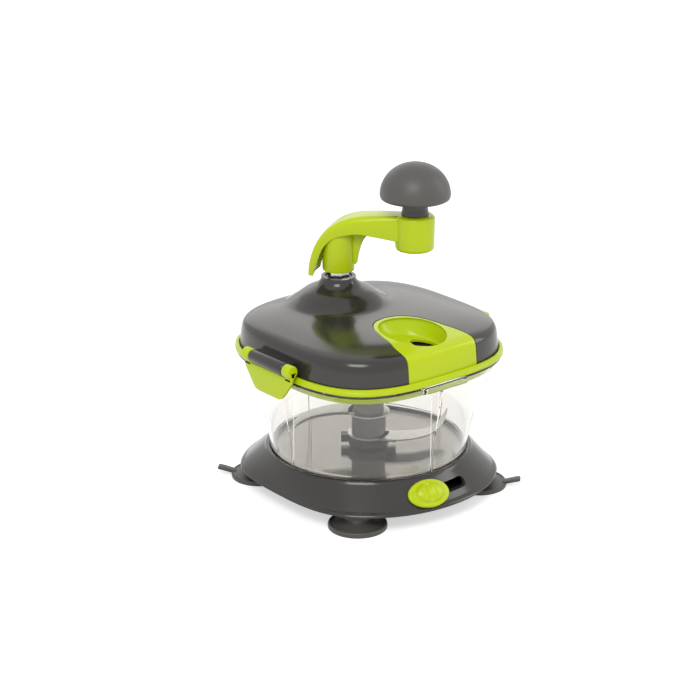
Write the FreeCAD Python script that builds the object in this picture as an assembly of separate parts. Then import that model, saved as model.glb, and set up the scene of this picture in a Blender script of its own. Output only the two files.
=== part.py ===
import FreeCAD, Part
import math
import os
from FreeCAD import Vector

# Hand-crank food chopper: a clear bowl on a base with four suction cups, a geared lid
# with a crank, and a two-blade unit. Millimetres, +Z up. The origin is at the centre of
# the foot print, on the plane that the cups stand on. The front (-Y) has the spout.

# ---- driving dimensions -------------------------------------------------------------
RUN = 0.05              # radial clearance of a running fit
GAP = 0.3               # clearance between parts that slide or lift past each other

cup_pitch = 120.2       # between suction cup centres, along X and along Y
cup_radius = 22.0
cup_tab_length = 11.0
stud_radius = 5.0       # neck of a cup where it passes the bottom cover

skirt_bottom = 13.0     # height of the base's lower edge
skirt_knee = 16.0       # height where the rounded foot of the skirt ends
foot_round = 3.2        # how far the skirt has drawn in at the knee
skirt_top = 33.0
base_front = 98.0       # half depth of the base at its front and back
base_side = 89.0        # half width of the base at its sides
base_corner = 99.5      # radius of the base at its four corners
skirt_wall = 3.2
recess_ease = 0.67      # between the bowl's foot and the recess that takes it
land_width = 2.2        # upper edge of the skirt, around the bowl
deck_top = 29.0         # shelf that carries the bowl
deck_thickness = 2.4
cover_thickness = 2.0
cover_screw_inset = 8.0 # from the lock bar in to the cover screws
cover_screw_radius = 1.6

button_height = 22.4    # height of the slide button's centre on the skirt
button_length = 39.0
button_width = 22.6
button_angle = -9.7     # resting place, degrees from the front
slot_half_angle = 14.8
slot_low = 20.0
slot_high = 26.3
stem_half_angle = 4.8
lock_half_angle = 12.0
lock_low = 20.5
lock_high = 25.5
hook_angle = 13.5       # bowl hook, degrees from the front
hook_half_width = 5.0

bowl_wall = 2.2
bowl_floor = 2.4
bowl_foot = 75.2        # radius of the bowl's round foot
rim_height = 108.8      # top of the bowl's rim
rim_half = 87.6         # half width of the bowl at its rim
rim_lip_width = 1.4     # how far the lip stands out from the bowl
rim_lip_thickness = 2.5
tab_half = 21.0         # finger tab on the front of the rim
tab_depth = 6.0
baffle_depth = 1.2      # how far the four baffle ribs stand in from the foot
baffle_thickness = 1.4
baffle_drop = 9.8       # below the rim

pin_radius = 3.0        # steel pin on which the blade unit turns
pin_top = 66.0
pin_boss_radius = 6.0
pin_boss_height = 5.6
blade_clearance = 4.8   # between a blade's tip and the baffle ribs
blade_thickness = 1.2
lower_blade_z = 40.0
upper_blade_z = 58.0
core_radius = 9.0
stem_wall = 2.5
drive_depth = 8.4       # the drive hexagon and its socket, under the liner
drive_hex = 11.3        # across flats

ring_margin = 2.4       # how far the lid's ring stands out from the bowl's rim
ring_power = 2.95       # squareness of the lid's outline
ring_flange = 2.5
ring_ridge = 4.7        # height of the ring's ridge above the rim
ring_step = 3.2         # from the ring's edge in to the lid shell
skirt_depth = 8.1       # how far the ring reaches down inside the bowl
skirt_ease = 0.8        # between the ring's skirt and the bowl's mouth
ring_skirt_wall = 1.5
seal_drop = 3.0         # gasket, below the rim
seal_height = 2.2
seal_ease = 0.64
seal_groove = 1.1
liner_thickness = 2.4
liner_ease = 0.6
ring_ledge = 4.6        # how far the ring laps over the liner
lid_wall = 2.4

gear_module = 1.1
gear_teeth = 48
pinion_teeth = 18
gear_face = 8.0
gear_hub_radius = 11.0
gear_hex = 12.0
shaft_radius = 7.0
shaft_screw_radius = 2.5
screw_head_height = 2.8
washer_thickness = 1.6
bush_wall = 3.5
bush_flange = 2.8
pinion_bush_wall = 2.0
journal_radius = 4.0    # upper bearing of the pinion
hub_rise = 20.0         # hub collar above the lid's top
collar_wall = 2.7
hub_foot_radius = 41.0  # where the hub's cone runs out on the lid
boss_wall = 3.0

spout_half = 33.0       # half width of the spout insert at the front wall
dish_y = -50.0
dish_half_x = 23.5
dish_half_y = 28.0
dish_depth = 12.0       # from the lid's top to the dish's floor at its middle
dish_slope = 0.1167     # fall of the dish's floor towards +X
dish_draft = 4.0
dish_wall = 2.0
chute_x = 10.3
chute_y = -54.0
chute_half_x = 9.3
chute_half_y = 14.6
chute_wall = 1.7
chute_drop = 17.6       # top of the chute below the lid's top

crank_length = 59.0
crank_heading = math.degrees(math.atan2(-46.7, 35.9))
crank_rise = 4.0        # between the hub collar and the crank
crank_height = 46.0
hub_radius = 13.5
hex_grip = 24.0         # how far the shaft's hexagon reaches into the crank
socket_radius = 15.2
socket_depth = 25.0
socket_bore = 7.0
arm_width_hub = 26.0
arm_width_socket = 19.0
arm_wall = 2.6
knob_pin_radius = 3.5
knob_radius = 26.7
knob_rise = 11.0        # from the socket to the knob's cap
knob_height = 31.1
neck_radius = 9.0
neck_top_radius = 10.8

latch_stand = 4.5       # from the ring's edge out to a latch's hinge axis
latch_rise = 8.2        # from the ring's flange up to the hinge axis
latch_half = 28.0
latch_lug_half = 20.0
latch_pin_radius = 1.6
knuckle_radius = 5.0
latch_thickness = 2.5
latch_drop = 14.1       # lower edge of a latch, below the rim
hook_height = 2.6
latch_hook_half = 14.0

post_inset = 4.1        # lid posts for the liner screws, in from the ring's corner
post_radius = 4.0
liner_screw_radius = 1.5

# ---- worked-out dimensions ----------------------------------------------------------
# bowl sections from foot to rim: share of the height, share of the flare, squareness
BOWL = [(0.0, 0.0, 2.0), (0.15, 0.056, 2.08), (0.313, 0.145, 2.2), (0.47, 0.306, 2.35),
        (0.727, 0.629, 2.66), (0.877, 0.839, 2.88), (1.0, 1.0, ring_power)]


def bowl_half_at(z):
    """Half width of the bowl's outside at a height."""
    rise = (z - deck_top) / (rim_height - deck_top)
    for low, high in zip(BOWL, BOWL[1:]):
        if low[0] <= rise <= high[0]:
            flare = low[1] + (high[1] - low[1]) * (rise - low[0]) / (high[0] - low[0])
            return bowl_foot + (rim_half - bowl_foot) * flare
    return rim_half


deck_under = deck_top - deck_thickness
cover_top = skirt_bottom + cover_thickness
recess_radius = bowl_half_at(skirt_top) + recess_ease
skirt_top_radius = recess_radius + land_width
hook_inner = bowl_foot - 11.2
hook_shank = bowl_foot - 8.2
hook_outer = bowl_foot - 2.2
lock_inner = bowl_foot - 5.2
lock_outer = bowl_foot + 4.8
cover_screw_circle = lock_inner - cover_screw_inset
bowl_inner_floor = deck_top + bowl_floor
pin_boss_top = bowl_inner_floor + pin_boss_height
baffle_radius = bowl_foot - bowl_wall - baffle_depth
baffle_top = rim_height - baffle_drop
blade_reach = baffle_radius - blade_clearance
rim_lip = rim_half + rim_lip_width
mouth_half = rim_half - bowl_wall

ring_half = rim_half + ring_margin
ring_ridge_top = rim_height + ring_ridge
lid_half = ring_half - ring_step
skirt_low = rim_height - skirt_depth
skirt_half = mouth_half - skirt_ease
skirt_low_half = bowl_half_at(skirt_low) - bowl_wall - skirt_ease - 0.2
ring_skirt_inner = skirt_low_half - ring_skirt_wall
seal_high = rim_height - seal_drop
seal_low = seal_high - seal_height
seal_half = bowl_half_at(seal_low) - bowl_wall - seal_ease
seal_inner = seal_half - seal_groove
liner_half = ring_skirt_inner - liner_ease
liner_top = rim_height
liner_bottom = liner_top - liner_thickness
ring_inner = liner_half - ring_ledge
stem_top = liner_bottom - drive_depth
stem_radius = core_radius + stem_wall
flange_top = rim_height + ring_flange
post_place = ring_inner * 2 ** (-1 / ring_power) - post_inset

# lid sections: height above the flange, inset of the outline
LID = [(0.0, 0.0), (9.0, 0.9), (14.5, 1.8), (18.0, 3.3), (20.6, 5.8), (22.4, 9.6),
       (23.8, 16.0), (25.2, 30.0), (26.2, 48.0), (26.7, 74.0)]
lid_top = flange_top + LID[-1][0]

screw_head_low = liner_top + 0.8
washer_low = screw_head_low + screw_head_height
gear_hub_low = washer_low + washer_thickness
gear_low = gear_hub_low + 3.0
gear_high = gear_low + gear_face
gear_hub_high = gear_high + 2.0
bush_low = gear_hub_high + 0.2 + bush_flange
journal_top = gear_high + 6.5
hub_top = lid_top + hub_rise
bush_radius = shaft_radius + bush_wall
pinion_bush_radius = core_radius + pinion_bush_wall
shaft_hex = 2 * shaft_radius + 0.5
gear_pitch = gear_module * gear_teeth / 2
pinion_pitch = gear_module * pinion_teeth / 2
shaft_y = gear_pitch + pinion_pitch     # crank shaft axis, behind the bowl's axis
dish_floor = lid_top - dish_depth
chute_top = lid_top - chute_drop

hub_low = hub_top + crank_rise
hex_top = hub_low + hex_grip
socket_high = hub_low + crank_height
socket_low = socket_high - socket_depth
knob_low = socket_high + knob_rise
knob_top = knob_low + knob_height
latch_x = ring_half + latch_stand
latch_z = flange_top + latch_rise
latch_bottom = rim_height - latch_drop


nodes = {}


# ---- shape helpers ------------------------------------------------------------------
def closed_spline(points):
    curve = Part.BSplineCurve()
    curve.interpolate(points, PeriodicFlag=True)
    return Part.Wire([curve.toShape()])


def ring_points(radius_at, z, count=48):
    points = []
    for i in range(count):
        angle = 2 * math.pi * i / count
        r = radius_at(angle)
        points.append(Vector(r * math.cos(angle), r * math.sin(angle), z))
    return points


def superellipse(half, power):
    def radius_at(angle):
        c = abs(math.cos(angle)) ** power
        s = abs(math.sin(angle)) ** power
        return half * (c + s) ** (-1.0 / power)
    return radius_at


def outline(half, power, z):
    return closed_spline(ring_points(superellipse(half, power), z))


def slab(half, power, low, high, top_half=None):
    """Closed solid between two outlines of the same squareness."""
    wires = [outline(half, power, low), outline(top_half or half, power, high)]
    return Part.makeLoft(wires, True, True)


def cyl(radius, low, high, x=0.0, y=0.0):
    return Part.makeCylinder(radius, high - low, Vector(x, y, low))


def tube(outer, inner, low, high, x=0.0, y=0.0):
    return cyl(outer, low, high, x, y).cut(cyl(inner, low - 1, high + 1, x, y))


def box(x0, x1, y0, y1, z0, z1):
    return Part.makeBox(x1 - x0, y1 - y0, z1 - z0, Vector(x0, y0, z0))


def polygon_face(points):
    return Part.Face(Part.makePolygon(points + [points[0]]))


def turned(profile, x=0.0, y=0.0):
    """Solid of revolution about a vertical axis; profile is (radius, height) pairs."""
    face = polygon_face([Vector(x + r, y, z) for r, z in profile])
    return face.revolve(Vector(x, y, 0), Vector(0, 0, 1), 360)


def hexagon(flats, low, high, x=0.0, y=0.0, turn=0.0):
    r = flats / math.sqrt(3)
    corners = []
    for i in range(6):
        angle = math.radians(60 * i + turn)
        corners.append(Vector(x + r * math.cos(angle), y + r * math.sin(angle), low))
    return polygon_face(corners).extrude(Vector(0, 0, high - low))


def sector(inner, outer, low, high, middle, half_angle):
    """Piece of a vertical ring; middle is in degrees from the front, towards +X."""
    section = polygon_face([Vector(inner, 0, low), Vector(outer, 0, low),
                            Vector(outer, 0, high), Vector(inner, 0, high)])
    section.rotate(Vector(0, 0, 0), Vector(0, 0, 1), middle - 90 - half_angle)
    return section.revolve(Vector(0, 0, 0), Vector(0, 0, 1), 2 * half_angle)


def turned_about_z(shape, degrees):
    copy = shape.copy()
    copy.rotate(Vector(0, 0, 0), Vector(0, 0, 1), degrees)
    return copy


def mirrored_x(shape):
    return shape.mirror(Vector(0, 0, 0), Vector(1, 0, 0))


def oval(x, y, half_x, half_y, z):
    points = []
    for i in range(24):
        angle = 2 * math.pi * i / 24
        points.append(Vector(x + half_x * math.cos(angle), y + half_y * math.sin(angle), z))
    return closed_spline(points)


def keep(name, shape):
    nodes[name] = Part.Compound(shape.Solids)


# ---- base ---------------------------------------------------------------------------
def squareness_for(half, corner):
    """Squareness that brings an outline of this half width to the corner radius."""
    return 1.0 / (0.5 - math.log(corner / half, 2))


front_radius = superellipse(base_front, squareness_for(base_front, base_corner))
side_radius = superellipse(base_side, squareness_for(base_side, base_corner))


def foot_radius(angle):
    """Base outline at the lower edge: bulged front and back, flatter sides."""
    if abs(math.sin(angle)) > abs(math.cos(angle)):
        return front_radius(angle)
    return side_radius(angle)


def skirt_section(z, inset):
    """Outline of the skirt at a height: rounded foot, then a straight cone."""
    def radius_at(angle):
        foot = foot_radius(angle)
        knee = foot - foot_round
        if z <= skirt_knee:
            share = (z - skirt_bottom) / (skirt_knee - skirt_bottom)
            return foot - foot_round * share ** 2 - inset
        share = (z - skirt_knee) / (skirt_top - skirt_knee)
        return knee + (skirt_top_radius - knee) * share - inset
    return closed_spline(ring_points(radius_at, z))


def skirt_solid(inset, top):
    heights = [skirt_bottom, (skirt_bottom + skirt_knee) / 2, skirt_knee, top]
    return Part.makeLoft([skirt_section(z, inset) for z in heights], True, True)


def cup_places():
    half = cup_pitch / 2
    return {"front_left": (-half, -half), "front_right": (half, -half),
            "rear_left": (-half, half), "rear_right": (half, half)}


def screw_places():
    return [(cover_screw_circle * math.cos(math.radians(a)),
             cover_screw_circle * math.sin(math.radians(a))) for a in (0, 90, 180, 270)]


def make_base():
    housing = skirt_solid(0.0, skirt_top).cut(skirt_solid(skirt_wall, deck_under))
    housing = housing.cut(cyl(recess_radius, deck_top, skirt_top + 1))
    for x, y in screw_places():
        housing = housing.fuse(cyl(4.0, cover_top, deck_under, x, y))
        housing = housing.cut(cyl(cover_screw_radius, cover_top - 1, deck_under - 1, x, y))
    slot = sector(lock_outer - 3, base_corner + 2, slot_low, slot_high, 0.0, slot_half_angle)
    housing = housing.cut(slot)
    hook_slot = box(-hook_half_width - GAP, hook_half_width + GAP, -hook_outer - GAP, -hook_inner + GAP,
                    deck_under - 1, deck_top + 1)
    housing = housing.cut(turned_about_z(hook_slot, hook_angle))
    keep("base_housing", housing)

    cover = Part.makeLoft([skirt_section(skirt_bottom, skirt_wall + GAP),
                           skirt_section(cover_top, skirt_wall + GAP)], True, True)
    for x, y in cup_places().values():
        cover = cover.cut(cyl(stud_radius, skirt_bottom - 1, cover_top + 1, x, y))
    for x, y in screw_places():
        cover = cover.cut(cyl(cover_screw_radius + 0.2, skirt_bottom - 1, cover_top + 1, x, y))
    keep("bottom_cover", cover)

    screws = []
    for x, y in screw_places():
        head = cyl(3.4, skirt_bottom - 1.6, skirt_bottom, x, y)
        screws.append(head.fuse(cyl(cover_screw_radius, skirt_bottom, cover_top + 8, x, y)))
    keep("cover_screws", Part.Compound(screws))


def make_cup(x, y, tab_heading):
    r = cup_radius
    profile = [(0.0, 4.4), (r * 0.6, 3.4), (r - 1.6, 0.0), (r, 0.0), (r + 0.2, 1.6),
               (r - 0.2, 3.4), (r - 1.2, 4.0), (r - 2.4, 3.2), (r * 0.62, 5.0), (9.6, 7.4),
               (9.0, skirt_bottom), (stud_radius, skirt_bottom), (stud_radius, cover_top),
               (6.6, cover_top), (5.4, cover_top + 2.4), (0.0, cover_top + 2.4)]
    cup = turned(profile, x, y)
    root = r - 2.0
    tip = r + cup_tab_length
    side = polygon_face([Vector(root, -3, 1.4), Vector(tip - 3, -3, 4.2), Vector(tip, -3, 5.2),
                         Vector(tip - 0.4, -3, 7.4), Vector(tip - 3, -3, 7.0),
                         Vector(root, -3, 4.0)])
    tab = side.extrude(Vector(0, 6, 0))
    tab.rotate(Vector(0, 0, 0), Vector(0, 0, 1), tab_heading)
    tab.translate(Vector(x, y, 0))
    return cup.fuse(tab)


def make_cups():
    headings = {"front_left": 45.0, "front_right": -45.0, "rear_left": 135.0, "rear_right": 225.0}
    for place, (x, y) in cup_places().items():
        keep("suction_cup_" + place, make_cup(x, y, headings[place]))


# ---- slide button and lock ----------------------------------------------------------
def make_slide():
    slope = math.atan2(skirt_top - skirt_knee, base_front - foot_round - skirt_top_radius)
    share = (button_height - skirt_knee) / (skirt_top - skirt_knee)
    r = (base_front - foot_round) * (1 - share) + skirt_top_radius * share
    out = Vector(math.sin(slope), 0, math.cos(slope))
    up = Vector(-math.cos(slope), 0, math.sin(slope))
    centre = Vector(r, 0, button_height)
    plate = Part.Ellipse(Vector(0, 0, 0), button_length / 2, button_width / 2).toShape()
    plate = Part.Face(Part.Wire([plate])).extrude(Vector(0, 0, 12))
    frame = FreeCAD.Matrix(0, up.x, out.x, centre.x, 1, up.y, out.y, centre.y,
                           0, up.z, out.z, centre.z, 0, 0, 0, 1)
    plate = plate.transformGeometry(frame)

    def cone_ring(near, far, reach):
        a = centre + out * near
        b = centre + out * far
        rim = [a - up * reach, b - up * reach, b + up * reach, a + up * reach]
        ring = polygon_face(rim)
        ring.rotate(Vector(0, 0, 0), Vector(0, 0, 1), -30)
        return ring.revolve(Vector(0, 0, 0), Vector(0, 0, 1), 60)

    button = plate.common(cone_ring(1.3, 3.4, button_width))
    grip = Part.makeSphere(9.0)
    grip = grip.transformGeometry(FreeCAD.Matrix(0, 0.86 * up.x, 0.34 * out.x, centre.x + 2.6 * out.x,
                                                 1.1, 0, 0, 0,
                                                 0, 0.86 * up.z, 0.34 * out.z, centre.z + 2.6 * out.z,
                                                 0, 0, 0, 1))
    grip = grip.common(cone_ring(1.5, 9.0, button_width))
    button = turned_about_z(button.fuse(grip), button_angle - 90)
    stem = sector(lock_outer, base_corner, slot_low + GAP, slot_high - GAP,
                  button_angle, stem_half_angle)
    skin = cone_ring(-20.0, 1.6, 60.0)
    stem = stem.common(turned_about_z(skin, button_angle - 90))
    keep("slide_button", button.fuse(stem))
    keep("lock_bar", sector(lock_inner, lock_outer, lock_low, lock_high,
                            button_angle, lock_half_angle))


# ---- bowl ---------------------------------------------------------------------------
def bowl_solid(inset, low):
    sections = []
    for rise, flare, power in BOWL:
        z = max(deck_top + (rim_height - deck_top) * rise, low)
        sections.append((z, bowl_foot + (rim_half - bowl_foot) * flare - inset, power))
    sections[-1] = (rim_height + (1.0 if inset else 0.0), sections[-1][1], sections[-1][2])
    wires = [outline(half, power, z) for z, half, power in sections]
    return Part.makeLoft(wires, True, False)


def make_bowl():
    bowl = bowl_solid(0.0, deck_top)
    lip = slab(rim_lip, ring_power, rim_height - rim_lip_thickness, rim_height)
    tab = box(-tab_half, tab_half, -rim_lip - 1.0, -rim_half + 7.6, rim_height - tab_depth, rim_height)
    inner = bowl_solid(bowl_wall, bowl_inner_floor)
    bowl = bowl.fuse(lip).fuse(tab).cut(inner)
    for quarter in range(4):
        rib = box(baffle_radius, rim_half, -baffle_thickness / 2, baffle_thickness / 2,
                  bowl_inner_floor - 0.5, baffle_top)
        rib = turned_about_z(rib, 90 * quarter).common(bowl_solid(bowl_wall / 2, deck_top))
        bowl = bowl.fuse(rib)
    bowl = bowl.fuse(cyl(pin_boss_radius, bowl_inner_floor - 0.5, pin_boss_top))
    bowl = bowl.cut(cyl(pin_radius, bowl_inner_floor, pin_boss_top + 1))
    hook_low = lock_low - 2.9
    plate = box(-hook_half_width, hook_half_width, -hook_shank, -hook_inner, hook_low, deck_top + 0.5)
    foot = box(-hook_half_width, hook_half_width, -hook_outer, -hook_inner, hook_low, hook_low + 2.5)
    bowl = bowl.fuse(turned_about_z(plate.fuse(foot), hook_angle))
    keep("bowl", bowl)
    keep("pivot_pin", cyl(pin_radius, bowl_inner_floor, pin_top))


# ---- blade unit ---------------------------------------------------------------------
def blade(z, heading):
    """Sickle blade: a ring round the core, and an arm that curves as it reaches out."""
    steps = 9
    lead = []
    trail = []
    for i in range(steps):
        share = i / (steps - 1)
        r = 12.0 + (blade_reach - 12.0) * share
        middle = 46.0 * share ** 1.3
        width = 22.0 * (1.0 - share ** 2.2) ** 0.8 + 0.6
        spread = math.degrees(width / 2 / r)
        lead.append((r, middle + spread))
        trail.append((r, middle - spread))
    rim = []
    for r, angle in lead + trail[::-1]:
        a = math.radians(angle + heading)
        rim.append(Vector(r * math.cos(a), r * math.sin(a), z))
    half = len(rim) // 2
    one = Part.BSplineCurve()
    one.interpolate(rim[:half])
    two = Part.BSplineCurve()
    two.interpolate(rim[half:])
    edges = [one.toShape(), Part.makeLine(rim[half - 1], rim[half]), two.toShape(),
             Part.makeLine(rim[-1], rim[0])]
    arm = Part.Face(Part.Wire(edges)).extrude(Vector(0, 0, blade_thickness))
    disc = cyl(core_radius + 7.0, z, z + blade_thickness)
    return arm.fuse(disc).cut(cyl(core_radius, z - 1, z + 3))


def make_blades():
    upper_top = upper_blade_z + blade_thickness
    lower_top = lower_blade_z + blade_thickness
    stem = cyl(core_radius, bowl_inner_floor + 2.0, upper_top)
    stem = stem.fuse(cyl(stem_radius, upper_top, stem_top))
    stem = stem.fuse(hexagon(drive_hex - 0.4, stem_top, stem_top + 4.3))
    stem = stem.cut(cyl(pin_radius + RUN, bowl_inner_floor, pin_top + 0.6))
    stem = stem.cut(cyl(pin_boss_radius + GAP, bowl_inner_floor, pin_boss_top + GAP))
    keep("blade_stem", stem)
    keep("lower_blade", blade(lower_blade_z, -62.0))
    keep("upper_blade", blade(upper_blade_z, 128.0))
    collar = tube(core_radius + 6.5, core_radius, bowl_inner_floor + 2.0, lower_blade_z)
    for heading in (-40.0, 140.0):
        wing = box(12.0, 21.0, -4.0, 4.0, bowl_inner_floor + 3.0, lower_blade_z)
        collar = collar.fuse(turned_about_z(wing, heading))
    keep("blade_collar", collar)
    keep("blade_spacer", tube(core_radius + 4.0, core_radius, lower_top, upper_blade_z))


# ---- lid ----------------------------------------------------------------------------
def lid_solid(inset, drop):
    wires = []
    for rise, shrink in LID:
        z = flange_top + rise - (drop if rise > 0 else 0)
        wires.append(outline(lid_half - shrink - inset, ring_power, z))
    return Part.makeLoft(wires, True, True)


# hub collar and cone: share of the way from collar to foot, depth below the collar's top
HUB = [(0.0, 0.0), (0.025, 3.0), (0.137, 6.5), (0.439, 11.0), (0.676, 16.0), (0.878, 20.4),
       (1.0, 24.6), (1.0, 28.0)]


def hub_solid(inset):
    profile = [(0.0, hub_top - inset)]
    collar = bush_radius + collar_wall
    for share, drop in HUB:
        profile.append((collar + (hub_foot_radius - collar) * share - inset, hub_top - drop - inset))
    profile.append((0.0, hub_top - HUB[-1][1] - inset))
    return turned(profile, 0.0, shaft_y)


def spout_plan(margin):
    """Plan of the spout insert: straight at the front wall, rounded behind."""
    right = [(spout_half, -78), (spout_half - 1.5, -68), (28, -56), (25.5, -44), (20.5, -30),
             (11.5, -20.5), (0, -17.5)]
    low = liner_bottom
    front = -ring_half - 10.0
    points = [Vector(x + margin if x else 0, y + margin * (1 if x < 26 else 0), low)
              for x, y in right]
    left = [Vector(-p.x, p.y, p.z) for p in reversed(points[:-1])]
    curve = Part.BSplineCurve()
    curve.interpolate(points + left)
    front_right = Vector(spout_half + margin, front, low)
    front_left = Vector(-spout_half - margin, front, low)
    edges = [Part.makeLine(front_right, points[0]), curve.toShape(),
             Part.makeLine(left[-1], front_left), Part.makeLine(front_left, front_right)]
    return Part.Face(Part.Wire(edges)).extrude(Vector(0, 0, lid_top + 10 - low))


def recess_solid(grow, floor_drop):
    """Oval dish whose floor slopes down towards +X."""
    wide = dish_half_x + grow
    long = dish_half_y + grow
    wires = [oval(0, dish_y, wide - dish_draft, long - dish_draft, dish_floor - 6 - floor_drop),
             oval(0, dish_y, wide, long, lid_top - 1), oval(0, dish_y, wide, long, lid_top + 4)]
    dish = Part.makeLoft(wires, True, True)
    reach = 2 * dish_half_x
    fall = dish_slope * reach
    floor = dish_floor - floor_drop
    side = [Vector(-reach, 2 * dish_y, floor + fall), Vector(reach, 2 * dish_y, floor - fall),
            Vector(reach, 2 * dish_y, lid_top + 20), Vector(-reach, 2 * dish_y, lid_top + 20)]
    return dish.common(polygon_face(side).extrude(Vector(0, -2 * dish_y, 0)))


def chute_solid(grow, low, high):
    wires = [oval(chute_x, chute_y, chute_half_x + grow, chute_half_y + grow, z) for z in (low, high)]
    return Part.makeLoft(wires, True, True)


def latch_rod(radius, half):
    """Rod along the left latch's hinge axis."""
    return Part.makeCylinder(radius, 2 * half, Vector(-latch_x, -half, latch_z), Vector(0, 1, 0))


def latch_lug():
    lug = latch_rod(knuckle_radius, latch_lug_half)
    web = box(-latch_x, -lid_half + 2.0, -latch_lug_half, latch_lug_half,
              latch_z - knuckle_radius / 2, latch_z + knuckle_radius * 0.7)
    bore = latch_rod(latch_pin_radius, latch_half + 1)
    return lug.fuse(web).cut(bore)


def post_places():
    return [(sx * post_place, sy * post_place) for sx in (-1, 1) for sy in (-1, 1)]


def make_lid():
    outer = lid_solid(0.0, 0.0).fuse(hub_solid(0.0))
    inner = lid_solid(lid_wall, lid_wall).fuse(hub_solid(lid_wall))
    skin = outer.cut(inner)
    shell = skin.cut(spout_plan(0.12))
    for x, y in post_places():
        foot = cyl(post_radius, liner_top, flange_top + 1, x, y)
        post = cyl(post_radius, liner_top, lid_top - 2, x, y).common(outer.fuse(foot))
        shell = shell.fuse(post)
        shell = shell.cut(cyl(liner_screw_radius, liner_top - 1, liner_top + 12, x, y))
    boss = cyl(bush_radius + boss_wall, bush_low, hub_top - 2, 0, shaft_y)
    shell = shell.fuse(boss).cut(cyl(bush_radius, bush_low - 5, hub_top + 1, 0, shaft_y))
    bearing = cyl(journal_radius + 3.0, gear_high + 1.5, lid_top - 1).common(outer)
    shell = shell.fuse(bearing).cut(cyl(journal_radius + RUN, gear_high, journal_top + 0.5))
    lug = latch_lug()
    shell = shell.fuse(lug).fuse(mirrored_x(lug))
    keep("lid_shell", shell)

    dish = recess_solid(dish_wall, dish_wall).common(outer).common(spout_plan(-0.12))
    insert = skin.common(spout_plan(-0.12)).fuse(dish)
    insert = insert.cut(recess_solid(0.0, 0.0)).cut(chute_solid(0.0, liner_bottom, lid_top + 10))
    keep("spout_insert", insert)

    ring = slab(ring_half, ring_power, rim_height, ring_ridge_top, ring_half - 0.6)
    ring = ring.cut(slab(lid_half + 0.25, ring_power, flange_top, ring_ridge_top + 1))
    ring = ring.cut(slab(ring_inner, ring_power, rim_height - 1, flange_top + 1))
    skirt = slab(skirt_low_half, ring_power, skirt_low, rim_height + 0.5, skirt_half)
    skirt = skirt.cut(slab(ring_skirt_inner, ring_power, skirt_low - 1, rim_height + 1))
    core = slab(seal_inner, ring_power, seal_low - 1, seal_high + 1)
    groove = slab(rim_half, ring_power, seal_low, seal_high).cut(core)
    keep("lid_ring", ring.fuse(skirt).cut(groove))
    keep("lid_gasket", slab(seal_half, ring_power, seal_low, seal_high).cut(core))

    liner = slab(liner_half, ring_power, liner_bottom, liner_top)
    under = liner_bottom - 1
    over = liner_top + 1
    liner = liner.cut(cyl(pinion_bush_radius, under, over))
    liner = liner.cut(chute_solid(chute_wall + GAP, under, over))
    screws = []
    for x, y in post_places():
        liner = liner.cut(cyl(liner_screw_radius + 0.2, under, over, x, y))
        head = cyl(liner_screw_radius + 1.9, liner_bottom - 1.5, liner_bottom, x, y)
        screws.append(head.fuse(cyl(liner_screw_radius, liner_bottom, liner_top + 11, x, y)))
    keep("lid_liner", liner)
    keep("liner_screws", Part.Compound(screws))
    chute = chute_solid(chute_wall + GAP, liner_bottom, chute_top)
    chute = chute.fuse(chute_solid(chute_wall + 2.3, liner_top, liner_top + 1.6))
    keep("pour_chute", chute.cut(chute_solid(GAP, under, chute_top + 1)))

    bush = tube(bush_radius, shaft_radius + RUN, bush_low, hub_top - 1.0, 0, shaft_y)
    flange = tube(bush_radius + 2.5, shaft_radius + RUN, bush_low - bush_flange, bush_low, 0, shaft_y)
    keep("shaft_bush", bush.fuse(flange))
    bush = tube(pinion_bush_radius, core_radius + RUN, liner_bottom, liner_top)
    flange = tube(pinion_bush_radius + 2.0, core_radius + RUN, liner_top, liner_top + 1.4)
    keep("pinion_bush", bush.fuse(flange))


# ---- gear pair ----------------------------------------------------------------------
def gear(teeth, low, high, x, y, first_tooth):
    """Spur gear with straight-flanked teeth and a little backlash."""
    pitch = gear_module * teeth / 2
    outer = pitch + 0.95 * gear_module
    root = pitch - 1.2 * gear_module
    step = 360.0 / teeth
    rim = []
    for i in range(teeth):
        middle = first_tooth + i * step
        for r, share in ((root, -0.36), (pitch, -0.235), (outer, -0.12),
                         (outer, 0.12), (pitch, 0.235), (root, 0.36)):
            a = math.radians(middle + share * step)
            rim.append(Vector(x + r * math.cos(a), y + r * math.sin(a), low))
    return polygon_face(rim).extrude(Vector(0, 0, high - low))


def make_gears():
    wheel = gear(gear_teeth, gear_low, gear_high, 0, shaft_y, -90.0)
    wheel = wheel.cut(tube(gear_pitch - 5, gear_hub_radius + 3, gear_high - 2.5, gear_high + 1,
                           0, shaft_y))
    wheel = wheel.fuse(cyl(gear_hub_radius, gear_hub_low, gear_hub_high, 0, shaft_y))
    wheel = wheel.cut(hexagon(gear_hex, gear_hub_low - 1, gear_hub_high + 1, 0, shaft_y))
    keep("drive_gear", wheel)

    pinion = gear(pinion_teeth, gear_low - 0.5, gear_high + 0.5, 0, 0, 90.0 + 180.0 / pinion_teeth)
    pinion = pinion.fuse(cyl(journal_radius, gear_high, journal_top))
    pinion = pinion.fuse(cyl(core_radius, liner_bottom - 0.2, gear_low))
    pinion = pinion.fuse(cyl(pinion_bush_radius, liner_top + 1.6, gear_low - 0.5))
    pinion = pinion.fuse(hexagon(drive_hex, stem_top + 4.8, liner_bottom))
    keep("pinion", pinion)
    socket = cyl(stem_radius, stem_top + GAP, liner_bottom - 0.2)
    keep("drive_socket", socket.cut(hexagon(drive_hex, stem_top - 1, liner_bottom + 1)))


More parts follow.
